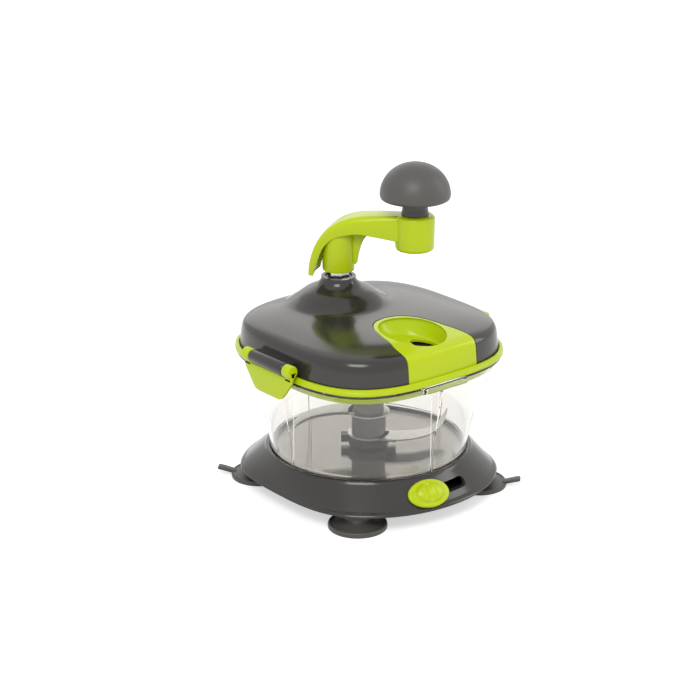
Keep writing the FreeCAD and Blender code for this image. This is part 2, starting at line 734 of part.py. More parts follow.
# ---- crank --------------------------------------------------------------------------
# side view of the arm: distance from the shaft, height above the crank's hub
ARCH_TOP = [(-22.5, -1.6), (-21.6, 7.0), (-19.4, 16.0), (-14.0, 27.1), (-6.4, 36.6),
            (5.0, 43.3), (16.3, 45.6), (31.4, 46.0), (crank_length, 45.6)]
ARCH_UNDER = [(crank_length, 25.6), (42.1, 27.9), (23.9, 31.8), (5.0, 31.0), (-2.6, 27.1),
              (-10.2, 20.0), (-14.1, 6.4), (-17.6, -2.8)]


def arch_face(top, under):
    edges = []
    for run in (top, under):
        curve = Part.BSplineCurve()
        curve.interpolate([Vector(s, 0, hub_low + rise) for s, rise in run])
        edges.append(curve.toShape())
    edges.insert(1, Part.makeLine(Vector(top[-1][0], 0, hub_low + top[-1][1]),
                                  Vector(under[0][0], 0, hub_low + under[0][1])))
    edges.append(Part.makeLine(Vector(under[-1][0], 0, hub_low + under[-1][1]),
                               Vector(top[0][0], 0, hub_low + top[0][1])))
    return Part.Face(Part.Wire(edges))


def across(face, width):
    solid = face.extrude(Vector(0, width, 0))
    solid.translate(Vector(0, -width / 2, 0))
    return solid


def arm_plan(inset, stop):
    near = arm_width_hub / 2 - inset
    far = arm_width_socket / 2 - inset
    low = hub_low - 12
    rim = [Vector(-30, -near, low), Vector(10, -near, low), Vector(stop, -far, low),
           Vector(stop, far, low), Vector(10, near, low), Vector(-30, near, low)]
    return polygon_face(rim).extrude(Vector(0, 0, crank_height + 24))


def place_crank(shape):
    copy = shape.copy()
    copy.rotate(Vector(0, 0, 0), Vector(0, 0, 1), crank_heading)
    copy.translate(Vector(0, shaft_y, 0))
    return copy


def make_crank():
    arch = across(arch_face(ARCH_TOP, ARCH_UNDER), 40.0).common(arm_plan(0.0, crank_length))
    floor = [(s, z - arm_wall) for s, z in ARCH_TOP[2:]]
    floor[0] = (ARCH_TOP[2][0] + arm_wall, 12.0)
    under = [(crank_length, 18.0), (20.0, 18.0), (-6.0, 8.0), (-13.0, -2.0)]
    hollow = across(arch_face(floor, under), 40.0)
    hollow = hollow.common(arm_plan(arm_wall, crank_length - 10))
    socket = cyl(socket_radius, socket_low, socket_high, crank_length)
    rounded = [e for e in socket.Edges if isinstance(e.Curve, Part.Circle)]
    socket = socket.makeFillet(2.6, rounded)
    under_arch = across(arch_face(ARCH_TOP, [(crank_length, 0.0), (20.0, 0.0), (-18.0, 0.0)]), 60.0)
    hub = cyl(hub_radius, hub_low, hub_low + 38).common(
        under_arch.fuse(cyl(hub_radius, hub_low, hub_low + 27)))
    rib_side = [(8.0, 34.0), (24.5, 34.0), (20.0, 27.0), (16.5, 18.0), (14.4, 6.4), (8.0, 6.4)]
    rib = polygon_face([Vector(s, 0, hub_low + rise) for s, rise in rib_side])
    arm = arch.cut(hollow).fuse(hub).fuse(across(rib, 5.0)).fuse(socket)
    arm = arm.cut(hexagon(shaft_hex, hub_low - 1, hex_top))
    arm = arm.cut(cyl(knob_pin_radius, socket_low, socket_high + 1, crank_length))
    bore_top = socket_low + 6.0
    arm = arm.cut(cyl(socket_bore, socket_low - 1, bore_top, crank_length))
    keep("crank_arm", place_crank(arm))
    keep("socket_plug", place_crank(cyl(socket_bore, socket_low, socket_low + 1.6, crank_length)))
    head = cyl(socket_bore - 0.8, socket_low + 2.2, bore_top, crank_length)
    pin = cyl(knob_pin_radius, socket_low + 5.0, knob_low + 19.0, crank_length)
    keep("knob_pin", place_crank(pin.fuse(head)))
    clip = tube(6.0, knob_pin_radius, knob_low + 15.2, knob_low + 16.4, crank_length)
    keep("knob_clip", place_crank(clip))

    shaft = hexagon(shaft_hex, hub_top - 1.0 + 0.1, hex_top)
    shaft = shaft.fuse(cyl(shaft_radius, gear_hub_high, hub_top))
    shaft = shaft.fuse(hexagon(gear_hex, gear_hub_low, gear_hub_high, turn=-crank_heading))
    shaft = shaft.cut(cyl(shaft_screw_radius, gear_hub_low - 1, gear_high))
    keep("crank_shaft", place_crank(shaft))
    keep("shaft_washer", tube(gear_hub_radius - 1.5, shaft_screw_radius, washer_low, gear_hub_low,
                              0, shaft_y))
    screw = cyl(shaft_screw_radius, screw_head_low, gear_high - 0.5, 0, shaft_y)
    head = cyl(shaft_screw_radius + 2.0, screw_head_low, washer_low, 0, shaft_y)
    keep("shaft_screw", screw.fuse(head))


def make_knob():
    bore = knob_pin_radius + RUN
    neck_foot = socket_high + GAP
    seat = knob_low + 3.0
    neck = [(bore, neck_foot), (neck_radius, neck_foot), (neck_radius, knob_low - 7.0),
            (neck_radius + 0.5, knob_low - 4.0), (neck_top_radius, knob_low), (neck_top_radius, seat),
            (bore, seat)]
    keep("knob_stem", place_crank(turned(neck, crank_length)))
    r = knob_radius
    brow = knob_low + 5.0
    cap = [(neck_top_radius, knob_low + 0.6), (r * 0.8, knob_low), (r * 0.97, knob_low + 2.2),
           (r, brow)]
    for i in range(1, 9):
        angle = math.radians(90.0 * i / 9)
        cap.append((r * math.cos(angle), brow + (knob_top - brow) * math.sin(angle)))
    pocket_low = knob_low + 15.0
    pocket_high = knob_low + 21.0
    cap += [(0.0, knob_top), (0.0, pocket_high), (8.0, pocket_high), (8.0, pocket_low),
            (bore, pocket_low), (bore, seat), (neck_top_radius, seat)]
    keep("knob_cap", place_crank(turned(cap, crank_length)))


# ---- latches ------------------------------------------------------------------------
def make_latches():
    face = -latch_x - 1.6
    back = face + latch_thickness
    shoulder = rim_height + 2.2
    plate_top = rim_height + 5.2
    pieces = []
    for low, high in ((latch_lug_half + GAP, latch_half), (-latch_half, -latch_lug_half - GAP)):
        pieces.append(Part.makeCylinder(knuckle_radius, high - low, Vector(-latch_x, low, latch_z),
                                        Vector(0, 1, 0)))
        pieces.append(box(face, back, low, high, shoulder - 3.0, latch_z))
    plan = [(latch_half, plate_top), (latch_half, shoulder), (latch_half - 12.0, latch_bottom + 4.0),
            (latch_half - 15.0, latch_bottom), (-latch_half + 15.0, latch_bottom),
            (-latch_half + 12.0, latch_bottom + 4.0), (-latch_half, shoulder),
            (-latch_half, plate_top)]
    plate = polygon_face([Vector(face, y, z) for y, z in plan]).extrude(Vector(latch_thickness, 0, 0))
    hook_top = rim_height - rim_lip_thickness - 0.5
    hook = box(back - 0.5, -rim_lip - 0.2, -latch_hook_half, latch_hook_half,
               hook_top - hook_height, hook_top)
    latch = plate.fuse(pieces + [hook]).cut(latch_rod(latch_pin_radius + RUN, latch_half + 1))
    pin = latch_rod(latch_pin_radius, latch_half - 2)
    keep("latch_left", latch)
    keep("latch_right", mirrored_x(latch))
    keep("latch_pin_left", pin)
    keep("latch_pin_right", mirrored_x(pin))


make_base()
make_cups()
make_slide()
make_bowl()
make_blades()
make_lid()
make_gears()
make_crank()
make_knob()
make_latches()

os.makedirs("parts", exist_ok=True)
for name, shape in nodes.items():
    shape.exportStep("parts/" + name + ".step")
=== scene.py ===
import bmesh
import bpy
import math
import numpy as np
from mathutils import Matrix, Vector


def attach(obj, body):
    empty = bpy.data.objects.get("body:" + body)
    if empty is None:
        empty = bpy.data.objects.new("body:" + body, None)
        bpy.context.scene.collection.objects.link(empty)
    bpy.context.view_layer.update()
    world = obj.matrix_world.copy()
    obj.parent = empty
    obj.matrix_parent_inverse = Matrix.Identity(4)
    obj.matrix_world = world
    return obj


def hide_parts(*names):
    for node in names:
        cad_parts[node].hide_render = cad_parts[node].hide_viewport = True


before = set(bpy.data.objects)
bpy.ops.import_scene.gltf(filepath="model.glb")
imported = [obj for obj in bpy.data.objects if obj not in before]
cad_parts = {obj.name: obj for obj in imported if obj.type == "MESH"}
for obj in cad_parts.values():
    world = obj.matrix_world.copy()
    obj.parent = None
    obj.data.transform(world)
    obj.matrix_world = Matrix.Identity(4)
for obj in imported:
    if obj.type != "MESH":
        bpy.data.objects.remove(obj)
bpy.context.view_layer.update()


# ---- base -----------------------------------------------------------------------------
# The foot of the chopper: a skirt moulded in dark glossy ABS, bulged at the front and
# back and flatter at the sides, with a round recess on top that the bowl drops into.
# A slot in the front of the skirt lets the lock's slide button travel.
MM = 0.001
DARK_GREY = (0.033, 0.0305, 0.028)
FOOT_FRONT = 98.0
FOOT_SIDE = 89.0
FOOT_CORNER = 99.5
FOOT_LOW = 13.0
FOOT_KNEE = 16.0
FOOT_ROUND = 3.2
SKIRT_WALL = 3.2
SKIRT_TOP = 33.0
SKIRT_TOP_RADIUS = 78.3
RECESS_RADIUS = 76.1
DECK_TOP = 29.0
DECK_SEEN = 28.7
DECK_UNDER = 26.6
SLOT_LOW = 20.0
SLOT_HIGH = 26.3
SLOT_HALF_ANGLE = 14.8
SLOT_NEAR = 74.0
SLOT_FAR = 103.0
# Painted light: a pale grey for the middle of the deck, and the radius it reaches, standing in for
# light that falls on the deck through the clear bowl.
DECK_PAINTED_LIGHT_GREY = (0.44, 0.415, 0.385)
DECK_PAINTED_LIGHT_RADIUS = RECESS_RADIUS - 1.4


def around(count):
    """Even angles round one full turn."""
    return np.arange(count) * 2 * math.pi / count


def quads(rows, columns, wrap_rows, wrap_columns):
    """Four-cornered faces between neighbouring rows and columns of a grid of points."""
    i = np.arange(rows if wrap_rows else rows - 1)[:, None]
    j = np.arange(columns if wrap_columns else columns - 1)[None, :]
    i2 = (i + 1) % rows
    j2 = (j + 1) % columns
    corners = np.broadcast_arrays(i * columns + j, i * columns + j2,
                                  i2 * columns + j2, i2 * columns + j)
    return np.stack(corners, -1).reshape(-1, 4)


def solid(name, grids, sharp=38.0):
    """One mesh from grids of points in millimetres, each (points, wrap rows, wrap columns).
    Coincident points are merged, so that a row drawn together closes a pole, and the
    faces are then turned to point outwards."""
    points = np.concatenate([np.reshape(g[0], (-1, 3)) for g in grids]) * MM
    faces = []
    start = 0
    for grid, wrap_rows, wrap_columns in grids:
        faces.append(quads(grid.shape[0], grid.shape[1], wrap_rows, wrap_columns) + start)
        start += grid.shape[0] * grid.shape[1]
    mesh = bpy.data.meshes.new(name)
    mesh.from_pydata(points.tolist(), [], np.concatenate(faces).tolist())
    return tidied(name, mesh, sharp)


def tidied(name, mesh, sharp):
    """Merges doubles, drops faces with no area, points the rest outwards and shades
    them smooth up to an edge angle."""
    made = bmesh.new()
    made.from_mesh(mesh)
    bmesh.ops.remove_doubles(made, verts=made.verts, dist=0.004 * MM)
    bmesh.ops.dissolve_degenerate(made, edges=made.edges, dist=0.002 * MM)
    bmesh.ops.recalc_face_normals(made, faces=made.faces)
    made.to_mesh(mesh)
    made.free()
    mesh.polygons.foreach_set("use_smooth", np.ones(len(mesh.polygons), bool))
    mesh.set_sharp_from_angle(angle=math.radians(sharp))
    mesh.name = name
    piece = bpy.data.objects.new(name, mesh)
    bpy.context.scene.collection.objects.link(piece)
    return piece


def combined(piece, tools, operation, sharp=38.0):
    """Cuts the tools out of a piece, or joins them to it, as closed solids."""
    for tool in tools:
        step = piece.modifiers.new("step", "BOOLEAN")
        step.operation = operation
        step.solver = "EXACT"
        step.object = tool
    graph = bpy.context.evaluated_depsgraph_get()
    mesh = bpy.data.meshes.new_from_object(piece.evaluated_get(graph))
    name = piece.name
    for old in [piece] + tools:
        bpy.data.objects.remove(old)
    return tidied(name, mesh, sharp)


def eased(corners, radius, steps=5):
    """Section line whose corners are rounded: each corner is replaced by a quadratic
    curve that starts and ends a radius away, or at half the side if that is less."""
    p = np.asarray(corners, float)
    back = np.roll(p, 1, 0) - p
    ahead = np.roll(p, -1, 0) - p
    reach = np.broadcast_to(np.asarray(radius, float), len(p))
    a = np.linalg.norm(back, axis=1)
    b = np.linalg.norm(ahead, axis=1)
    start = p + back * (np.minimum(reach, a / 2) / a)[:, None]
    end = p + ahead * (np.minimum(reach, b / 2) / b)[:, None]
    t = np.linspace(0, 1, steps)[None, :, None]
    curve = start[:, None] * (1 - t) ** 2 + 2 * p[:, None] * t * (1 - t) + end[:, None] * t ** 2
    return curve.reshape(-1, p.shape[1])


def squareness(half, corner):
    """Power of the squared circle of this half width that passes the corner radius."""
    return 1.0 / (0.5 - math.log(corner / half, 2))


def squared_radius(half, power, angle):
    """Radius of a squared circle, where |x|^power + |y|^power = half^power."""
    c = np.abs(np.cos(angle)) ** power
    s = np.abs(np.sin(angle)) ** power
    return half * (c + s) ** (-1 / power)


def foot_radius(angle):
    """Outline of the base at its lower edge, front and back apart from the sides, with
    the step of slope at the four corners rounded off by averaging over a few degrees."""
    spread = np.radians(np.linspace(-2.4, 2.4, 9))[:, None]
    near = angle[None, :] + spread
    front = squared_radius(FOOT_FRONT, squareness(FOOT_FRONT, FOOT_CORNER), near)
    side = squared_radius(FOOT_SIDE, squareness(FOOT_SIDE, FOOT_CORNER), near)
    return np.where(np.abs(np.sin(near)) > np.abs(np.cos(near)), front, side).mean(0)


def rings(radius, height, angle, x=0.0, y=0.0):
    """Rows of points round a vertical axis; radius is one number or row per height."""
    radius = np.broadcast_to(radius, (len(height), len(angle)))
    height = np.broadcast_to(np.asarray(height, float)[:, None], radius.shape)
    return np.stack([x + radius * np.cos(angle), y + radius * np.sin(angle), height], -1)


def set_values(node, **values):
    """Sets a node's own sockets by their names, in which _ stands for a space."""
    for key, value in values.items():
        node.inputs[key.replace("_", " ")].default_value = value


def placed(tree, kind, **values):
    """New node of a kind in a tree, with values for its sockets."""
    node = tree.nodes.new(kind)
    set_values(node, **values)
    return node


def new_material(name):
    """Material with its node tree and its Principled shader."""
    material = bpy.data.materials.new(name)
    material.use_nodes = True
    tree = material.node_tree
    return material, tree, tree.nodes["Principled BSDF"]


def moulded_group():
    """Node group for moulded surfaces: a faint mottle in the colour, patches of finer
    polish in the roughness, and a shallow ripple and grain in the normal."""
    group = bpy.data.node_groups.new("moulded_surface", "ShaderNodeTree")
    face = group.interface
    face.new_socket("Colour", in_out="INPUT", socket_type="NodeSocketColor")
    for name, value in (("Mottle", 0.05), ("Roughness", 0.25), ("Polish change", 0.08),
                        ("Ripple", 0.02), ("Grain", 0.02), ("Grain size", 1200.0)):
        face.new_socket(name, in_out="INPUT", socket_type="NodeSocketFloat").default_value = value
    face.new_socket("Colour", in_out="OUTPUT", socket_type="NodeSocketColor")
    face.new_socket("Roughness", in_out="OUTPUT", socket_type="NodeSocketFloat")
    face.new_socket("Normal", in_out="OUTPUT", socket_type="NodeSocketVector")
    link = group.links.new
    given = placed(group, "NodeGroupInput")
    place = placed(group, "ShaderNodeTexCoord")

    def noise(**values):
        """Noise on the piece's own coordinates."""
        node = placed(group, "ShaderNodeTexNoise", **values)
        link(place.outputs["Object"], node.inputs["Vector"])
        return node

    def maths(operation, a, b):
        """Sum, difference or product of two values or sockets."""
        node = placed(group, "ShaderNodeMath")
        node.operation = operation
        for socket, value in zip(node.inputs, (a, b)):
            if isinstance(value, (int, float)):
                socket.default_value = value
            else:
                link(value, socket)
        return node.outputs[0]

    cloud = noise(Scale=38.0, Detail=4.0)
    centred = maths("SUBTRACT", cloud.outputs["Fac"], 0.5)
    shade = maths("ADD", maths("MULTIPLY", centred, given.outputs["Mottle"]), 1.0)
    tint = placed(group, "ShaderNodeVectorMath")
    tint.operation = "SCALE"
    link(given.outputs["Colour"], tint.inputs[0])
    link(shade, tint.inputs["Scale"])
    patches = noise(Scale=110.0, Detail=5.0)
    wear = maths("MULTIPLY", maths("SUBTRACT", patches.outputs["Fac"], 0.5),
                 given.outputs["Polish change"])
    ripple = noise(Scale=160.0, Detail=1.0)
    grain = noise(Detail=2.0)
    link(given.outputs["Grain size"], grain.inputs["Scale"])
    height = maths("ADD", maths("MULTIPLY", ripple.outputs["Fac"], given.outputs["Ripple"]),
                   maths("MULTIPLY", grain.outputs["Fac"], given.outputs["Grain"]))
    bump = placed(group, "ShaderNodeBump", Strength=1.0, Distance=1.0 * MM)
    link(height, bump.inputs["Height"])
    out = placed(group, "NodeGroupOutput")
    link(tint.outputs[0], out.inputs["Colour"])
    link(maths("ADD", given.outputs["Roughness"], wear), out.inputs["Roughness"])
    link(bump.outputs["Normal"], out.inputs["Normal"])
    return group


moulded = moulded_group()


def finish(name, colour, roughness, mottle=0.05, polish=0.08, ripple=0.02, grain=0.01,
           grain_size=1200.0, **shader):
    """Material whose colour, roughness and normal come from the moulded surface group;
    further values are set on the shader itself."""
    material, tree, surface = new_material(name)
    node = placed(tree, "ShaderNodeGroup")
    node.node_tree = moulded
    set_values(node, Colour=(*colour, 1.0), Mottle=mottle, Roughness=roughness,
               Polish_change=polish, Ripple=ripple, Grain=grain, Grain_size=grain_size)
    for given, taken in (("Colour", "Base Color"), ("Roughness", "Roughness"),
                         ("Normal", "Normal")):
        tree.links.new(node.outputs[given], surface.inputs[taken])
    set_values(surface, **shader)
    return material


def fitted(piece, material, body, slot, *nodes):
    """Gives a piece its material and body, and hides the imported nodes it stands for."""
    piece.data.materials.clear()
    piece.data.materials.append(material)
    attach(piece, body)
    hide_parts(*nodes)
    return piece


grey_gloss = finish("dark_grey_gloss", DARK_GREY, 0.17, polish=0.06, ripple=0.012, grain=0.002,
                    IOR=1.52)


def base_skirt():
    """Closed section carried round: outside up from the foot, over the land, down the
    recess wall to the deck's middle, then back along the inside."""
    angle = around(384)
    foot = foot_radius(angle)
    knee = foot - FOOT_ROUND
    rise = np.linspace(0, 1, 7)[:, None]
    low = foot - FOOT_ROUND * rise ** 2
    low_z = FOOT_LOW + (FOOT_KNEE - FOOT_LOW) * rise[:, 0]
    up = np.linspace(0.04, 0.94, 12)[:, None]
    cone = knee + (SKIRT_TOP_RADIUS - knee) * up
    cone_z = FOOT_KNEE + (SKIRT_TOP - FOOT_KNEE) * up[:, 0]
    land = eased([(SKIRT_TOP_RADIUS + 0.9, SKIRT_TOP - 0.7), (SKIRT_TOP_RADIUS, SKIRT_TOP),
                  (RECESS_RADIUS, SKIRT_TOP), (RECESS_RADIUS, DECK_SEEN), (20.0, DECK_SEEN)],
                 [0.01, 0.7, 0.4, 0.6, 0.01])
    land = np.vstack([land, [(0.0, DECK_SEEN), (0.0, DECK_UNDER), (60.0, DECK_UNDER)]])
    deck_share = (DECK_UNDER - FOOT_KNEE) / (SKIRT_TOP - FOOT_KNEE)
    inner_top = knee + (SKIRT_TOP_RADIUS - knee) * deck_share
    inside = np.stack([inner_top - SKIRT_WALL, knee - SKIRT_WALL, foot - SKIRT_WALL, foot - 0.8])
    inside_z = [DECK_UNDER, FOOT_KNEE, FOOT_LOW, FOOT_LOW]
    radius = np.concatenate([low, cone, np.broadcast_to(land[:, :1], (len(land), len(angle))),
                             inside])
    height = np.concatenate([low_z, cone_z, land[:, 1], inside_z])
    return solid("base_skirt", [(rings(radius, height, angle), True, True)])


def slot_tool():
    """Bent bar that cuts the slot: its ends are half circles drawn round the near radius,
    and each point keeps its angle out to the far one."""
    middle = (SLOT_LOW + SLOT_HIGH) / 2
    half = (SLOT_HIGH - SLOT_LOW) / 2
    end = np.linspace(-math.pi / 2, math.pi / 2, 9)
    reach = SLOT_NEAR * math.radians(SLOT_HALF_ANGLE) - half
    along = np.concatenate([reach + half * np.cos(end), -reach - half * np.cos(end)])
    level = np.concatenate([middle + half * np.sin(end), middle - half * np.sin(end)])
    turn = along / SLOT_NEAR - math.pi / 2
    rows = [np.stack([r * np.cos(turn), r * np.sin(turn), level], -1)
            for r in (SLOT_NEAR, SLOT_FAR)]
    caps = [np.broadcast_to(row.mean(0), row.shape) for row in rows]
    return solid("slot", [(np.stack([caps[0], *rows, caps[1]]), False, True)])


base = combined(base_skirt(), [slot_tool()], "DIFFERENCE")
fitted(base, grey_gloss, "base", "grey_plastic", "base_housing")
# The middle of the deck inside the recess gets a pale grey by face: painted light for the
# brightness seen on the deck through the clear bowl, on the same dark moulding.
deck_painted_light_grey = finish("deck_painted_light_grey", DECK_PAINTED_LIGHT_GREY, 0.30, mottle=0.10, polish=0.10)
base.data.materials.append(deck_painted_light_grey)
faces = base.data.polygons
middle = np.empty(len(faces) * 3, np.float32)
faces.foreach_get("center", middle)
x, y, z = middle.reshape(-1, 3).T / MM
painted_light_on_deck = (np.abs(z - DECK_SEEN) < 0.05) & (np.hypot(x, y) < DECK_PAINTED_LIGHT_RADIUS)
faces.foreach_set("material_index", painted_light_on_deck.astype(np.int32))


# ---- bottom cover and lock bar ----------------------------------------------------------
# Flat cover of dull black plastic screwed under the base, and the lock's curved bar that
# slides behind the slot. Both are plain moulded parts, and the screws are plated steel.
dull_black = finish("dull_black_plastic", (0.030, 0.029, 0.028), 0.55, mottle=0.12, grain=0.03)


def steel_material(name, colour, roughness, along):
    """Drawn or ground steel: noise stretched along one axis varies the roughness and
    raises fine lines in the normal."""
    material, tree, surface = new_material(name)
    link = tree.links.new
    surface.inputs["Metallic"].default_value = 1.0
    place = placed(tree, "ShaderNodeTexCoord")
    stretch = placed(tree, "ShaderNodeMapping", Scale=along)
    lines = placed(tree, "ShaderNodeTexNoise", Scale=300.0, Detail=3.0)
    spread = placed(tree, "ShaderNodeMapRange", To_Min=roughness * 0.7, To_Max=roughness * 1.3)
    tone = placed(tree, "ShaderNodeMix")
    tone.data_type = "RGBA"
    tone.inputs["A"].default_value = (*[0.9 * c for c in colour], 1.0)
    tone.inputs["B"].default_value = (*colour, 1.0)
    bump = placed(tree, "ShaderNodeBump", Strength=0.25, Distance=0.05 * MM)
    link(place.outputs["Object"], stretch.inputs["Vector"])
    link(stretch.outputs["Vector"], lines.inputs["Vector"])
    link(lines.outputs["Fac"], spread.inputs["Value"])
    link(lines.outputs["Fac"], tone.inputs["Factor"])
    link(lines.outputs["Fac"], bump.inputs["Height"])
    link(spread.outputs["Result"], surface.inputs["Roughness"])
    link(tone.outputs["Result"], surface.inputs["Base Color"])
    link(bump.outputs["Normal"], surface.inputs["Normal"])
    return material


plated_steel = steel_material("plated_steel", (0.66, 0.66, 0.65), 0.22, (1.0, 1.0, 6.0))


def dressed(material, *names):
    """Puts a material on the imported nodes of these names, which stay in view."""
    for name in names:
        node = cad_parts[name]
        node.data.materials.clear()
        node.data.materials.append(material)


dressed(dull_black, "bottom_cover", "lock_bar")
dressed(plated_steel, "cover_screws")


# ---- suction cups -----------------------------------------------------------------------
# Four cups of dark rubber under the corners. Each has a thin lip, a dished top with a
# raised rim, a neck that goes up into the base, and a tab to peel it off the worktop.
CUP_HALF_PITCH = 60.1
CUP_RADIUS = 22.0
CUP_TAB_TIP = 33.0
dark_rubber = finish("dark_rubber", (0.072, 0.067, 0.061), 0.42, mottle=0.10, polish=0.14,
                     grain=0.012, grain_size=2200.0)


def flat_outline(points, radius):
    """Closed flat outline whose corners are eased."""
    return eased(points, radius, 6)


def billet(outline, low, high, edge, place):
    """Block cut to an outline, with its two ends rounded: rows of the outline are drawn
    in by a quarter circle near each end. place turns (u, v, height) into (x, y, z)."""
    ahead = np.roll(outline, -1, 0) - np.roll(outline, 1, 0)
    out = np.stack([ahead[:, 1], -ahead[:, 0]], -1)
    out /= np.maximum(np.linalg.norm(out, axis=1), 1e-9)[:, None]
    following = np.roll(outline, -1, 0)
    out *= np.sign(np.sum(outline[:, 0] * following[:, 1] - outline[:, 1] * following[:, 0]))
    turn = np.linspace(0, math.pi / 2, 5)
    draw = edge * (1 - np.sin(turn))
    level = edge * (1 - np.cos(turn))
    inset = np.concatenate([draw, draw[::-1]])
    height = np.concatenate([low + level, high - level[::-1]])
    rows = outline[None] - out[None] * inset[:, None, None]
    middle = np.broadcast_to(outline.mean(0), outline.shape)[None]
    rows = np.concatenate([middle, rows, middle])
    height = np.concatenate([[low], height, [high]])
    tall = np.broadcast_to(height[:, None], rows.shape[:2])
    return place(rows[..., 0], rows[..., 1], tall), False, True


def turned(section, count, x=0.0, y=0.0):
    """Section line of radii and heights, turned round an upright axis."""
    return rings(section[:, :1], section[:, 1], around(count), x, y)


def upright(u, v, h):
    """Place for a block that is drawn from above, with u as x and v as y."""
    return np.stack([u, v, h], -1)


def turned_place(x, y, degrees):
    """Place for a block drawn with u pointing outwards, turned about a cup's axis."""
    c, s = math.cos(math.radians(degrees)), math.sin(math.radians(degrees))

    def place(u, v, h):
        """Turns u and v by the angle and moves them to the axis."""
        return np.stack([x + u * c - v * s, y + u * s + v * c, h], -1)
    return place


def standing(spin):
    """Place for an outline drawn from the side: its v goes up and its height across."""
    return lambda u, v, h: spin(u, h, v)


def cup_grids(x, y, degrees):
    """Section turned round the cup's axis: under the dished mouth, round the lip, over the
    ring and up the neck to its head; the tab is an outline drawn from the side."""
    r = CUP_RADIUS
    section = [(0.0, 4.4), (r * 0.6, 3.4), (r - 1.6, 0.0), (r, 0.0), (r + 0.2, 1.6),
               (r - 0.2, 3.4), (r - 1.2, 4.0), (r - 2.6, 3.2), (r * 0.62, 5.0), (9.6, 7.4),
               (9.0, 13.0), (5.0, 13.0), (5.0, 15.0), (6.6, 15.0), (5.4, 17.4), (0.0, 17.4)]
    section = eased(section, [0.0, 2.0, 0.6, 0.5, 0.6, 0.6, 0.5, 1.2, 3.0, 2.0, 0.2, 0.2, 0.2,
                              0.3, 0.3, 0.0], 5)
    body = turned(section, 96, x, y)
    tip = CUP_TAB_TIP
    side = flat_outline([(r - 3.0, 1.5), (tip - 4.0, 4.0), (tip, 5.0), (tip - 0.4, 7.2),
                         (tip - 3.6, 6.8), (r - 3.0, 3.9)], [0.2, 3.0, 0.9, 0.9, 2.0, 0.2])
    return [(body, False, True),
            billet(side, -3.4, 3.4, 0.9, standing(turned_place(x, y, degrees)))]


for corner, sx, sy, heading in (("front_left", -1, -1, 45), ("front_right", 1, -1, -45),
                                ("rear_left", -1, 1, 135), ("rear_right", 1, 1, 225)):
    cup = solid("cup_" + corner, cup_grids(sx * CUP_HALF_PITCH, sy * CUP_HALF_PITCH, heading))
    fitted(cup, dark_rubber, "base", "cup_rubber", "suction_cup_" + corner)


# ---- slide button -----------------------------------------------------------------------
# Lime button of the lock. It is an oval plate that lies on the cone of the skirt, with a
# domed thumb grip of two lobes, and a stem that goes through the slot.
LIME = (0.560, 0.700, 0.004)
BUTTON_HEIGHT = 22.4
BUTTON_HALF_LENGTH = 17.0
BUTTON_HALF_WIDTH = 11.0
BUTTON_ANGLE = -9.7
BUTTON_SKIN = 1.3
BUTTON_PLATE = 1.9
GRIP_HALF_LENGTH = 12.0
GRIP_HALF_WIDTH = 8.2
GRIP_RISE = 4.6
GROOVE_DEPTH = 2.4
lime_gloss = finish("lime_gloss", LIME, 0.20, mottle=0.035, polish=0.07, ripple=0.012,
                    grain=0.002, IOR=1.38)


def button_points():
    """Polar grid over the oval; height above the cone is a rounded plate edge, plus a
    broad dome, plus two lobes across the button with a groove between them."""
    angle = around(160)[None, :]
    brim = 0.9 + 0.1 * np.sin(np.linspace(0.1, 1.57, 12))
    share = np.concatenate([np.linspace(0, 0.9, 40), brim])[:, None]
    u = BUTTON_HALF_LENGTH * share * np.cos(angle)
    v = BUTTON_HALF_WIDTH * share * np.sin(angle)
    edge = np.clip((1 - share) / 0.10, 0, 1)
    plate = BUTTON_SKIN + BUTTON_PLATE * np.sqrt(1 - (1 - edge) ** 2)
    body = np.clip(1 - (u / GRIP_HALF_LENGTH) ** 2 - (v / GRIP_HALF_WIDTH) ** 2, 0, 1)
    dome = GRIP_RISE * np.sqrt(body) * np.clip(body * 4, 0, 1)
    groove = GROOVE_DEPTH * np.exp(-((u + 1.5) / 2.4) ** 2) * np.clip(body * 2.2, 0, 1)
    return u, v, plate + dome - groove


def on_skirt(u, v, lift):
    """Carries a flat drawing onto the skirt's cone at the button: u runs round it, v up
    the slope, and lift stands square to it."""
    slope = math.atan2(SKIRT_TOP - FOOT_KNEE, FOOT_FRONT - FOOT_ROUND - SKIRT_TOP_RADIUS)
    share = (BUTTON_HEIGHT - FOOT_KNEE) / (SKIRT_TOP - FOOT_KNEE)
    near = (FOOT_FRONT - FOOT_ROUND) * (1 - share) + SKIRT_TOP_RADIUS * share
    radius = near - v * math.cos(slope) + lift * math.sin(slope)
    height = BUTTON_HEIGHT + v * math.sin(slope) + lift * math.cos(slope)
    turn = math.radians(BUTTON_ANGLE - 90) + u / near
    return np.stack([radius * np.cos(turn), radius * np.sin(turn), height], -1)


u, v, lift = button_points()
top = on_skirt(u, v, lift)
skin_under = on_skirt(u[::-1], v[::-1], np.full_like(lift, BUTTON_SKIN))
stem = flat_outline([(-7.5, -2.6), (7.5, -2.6), (7.5, 2.6), (-7.5, 2.6)], 1.0)
button = solid("slide_knob", [(np.concatenate([top, skin_under[1:]]), False, True),
                              billet(stem, -14.0, 2.0, 0.2, on_skirt)], 50.0)
fitted(button, lime_gloss, "slide_lock", "lime_plastic", "slide_button")


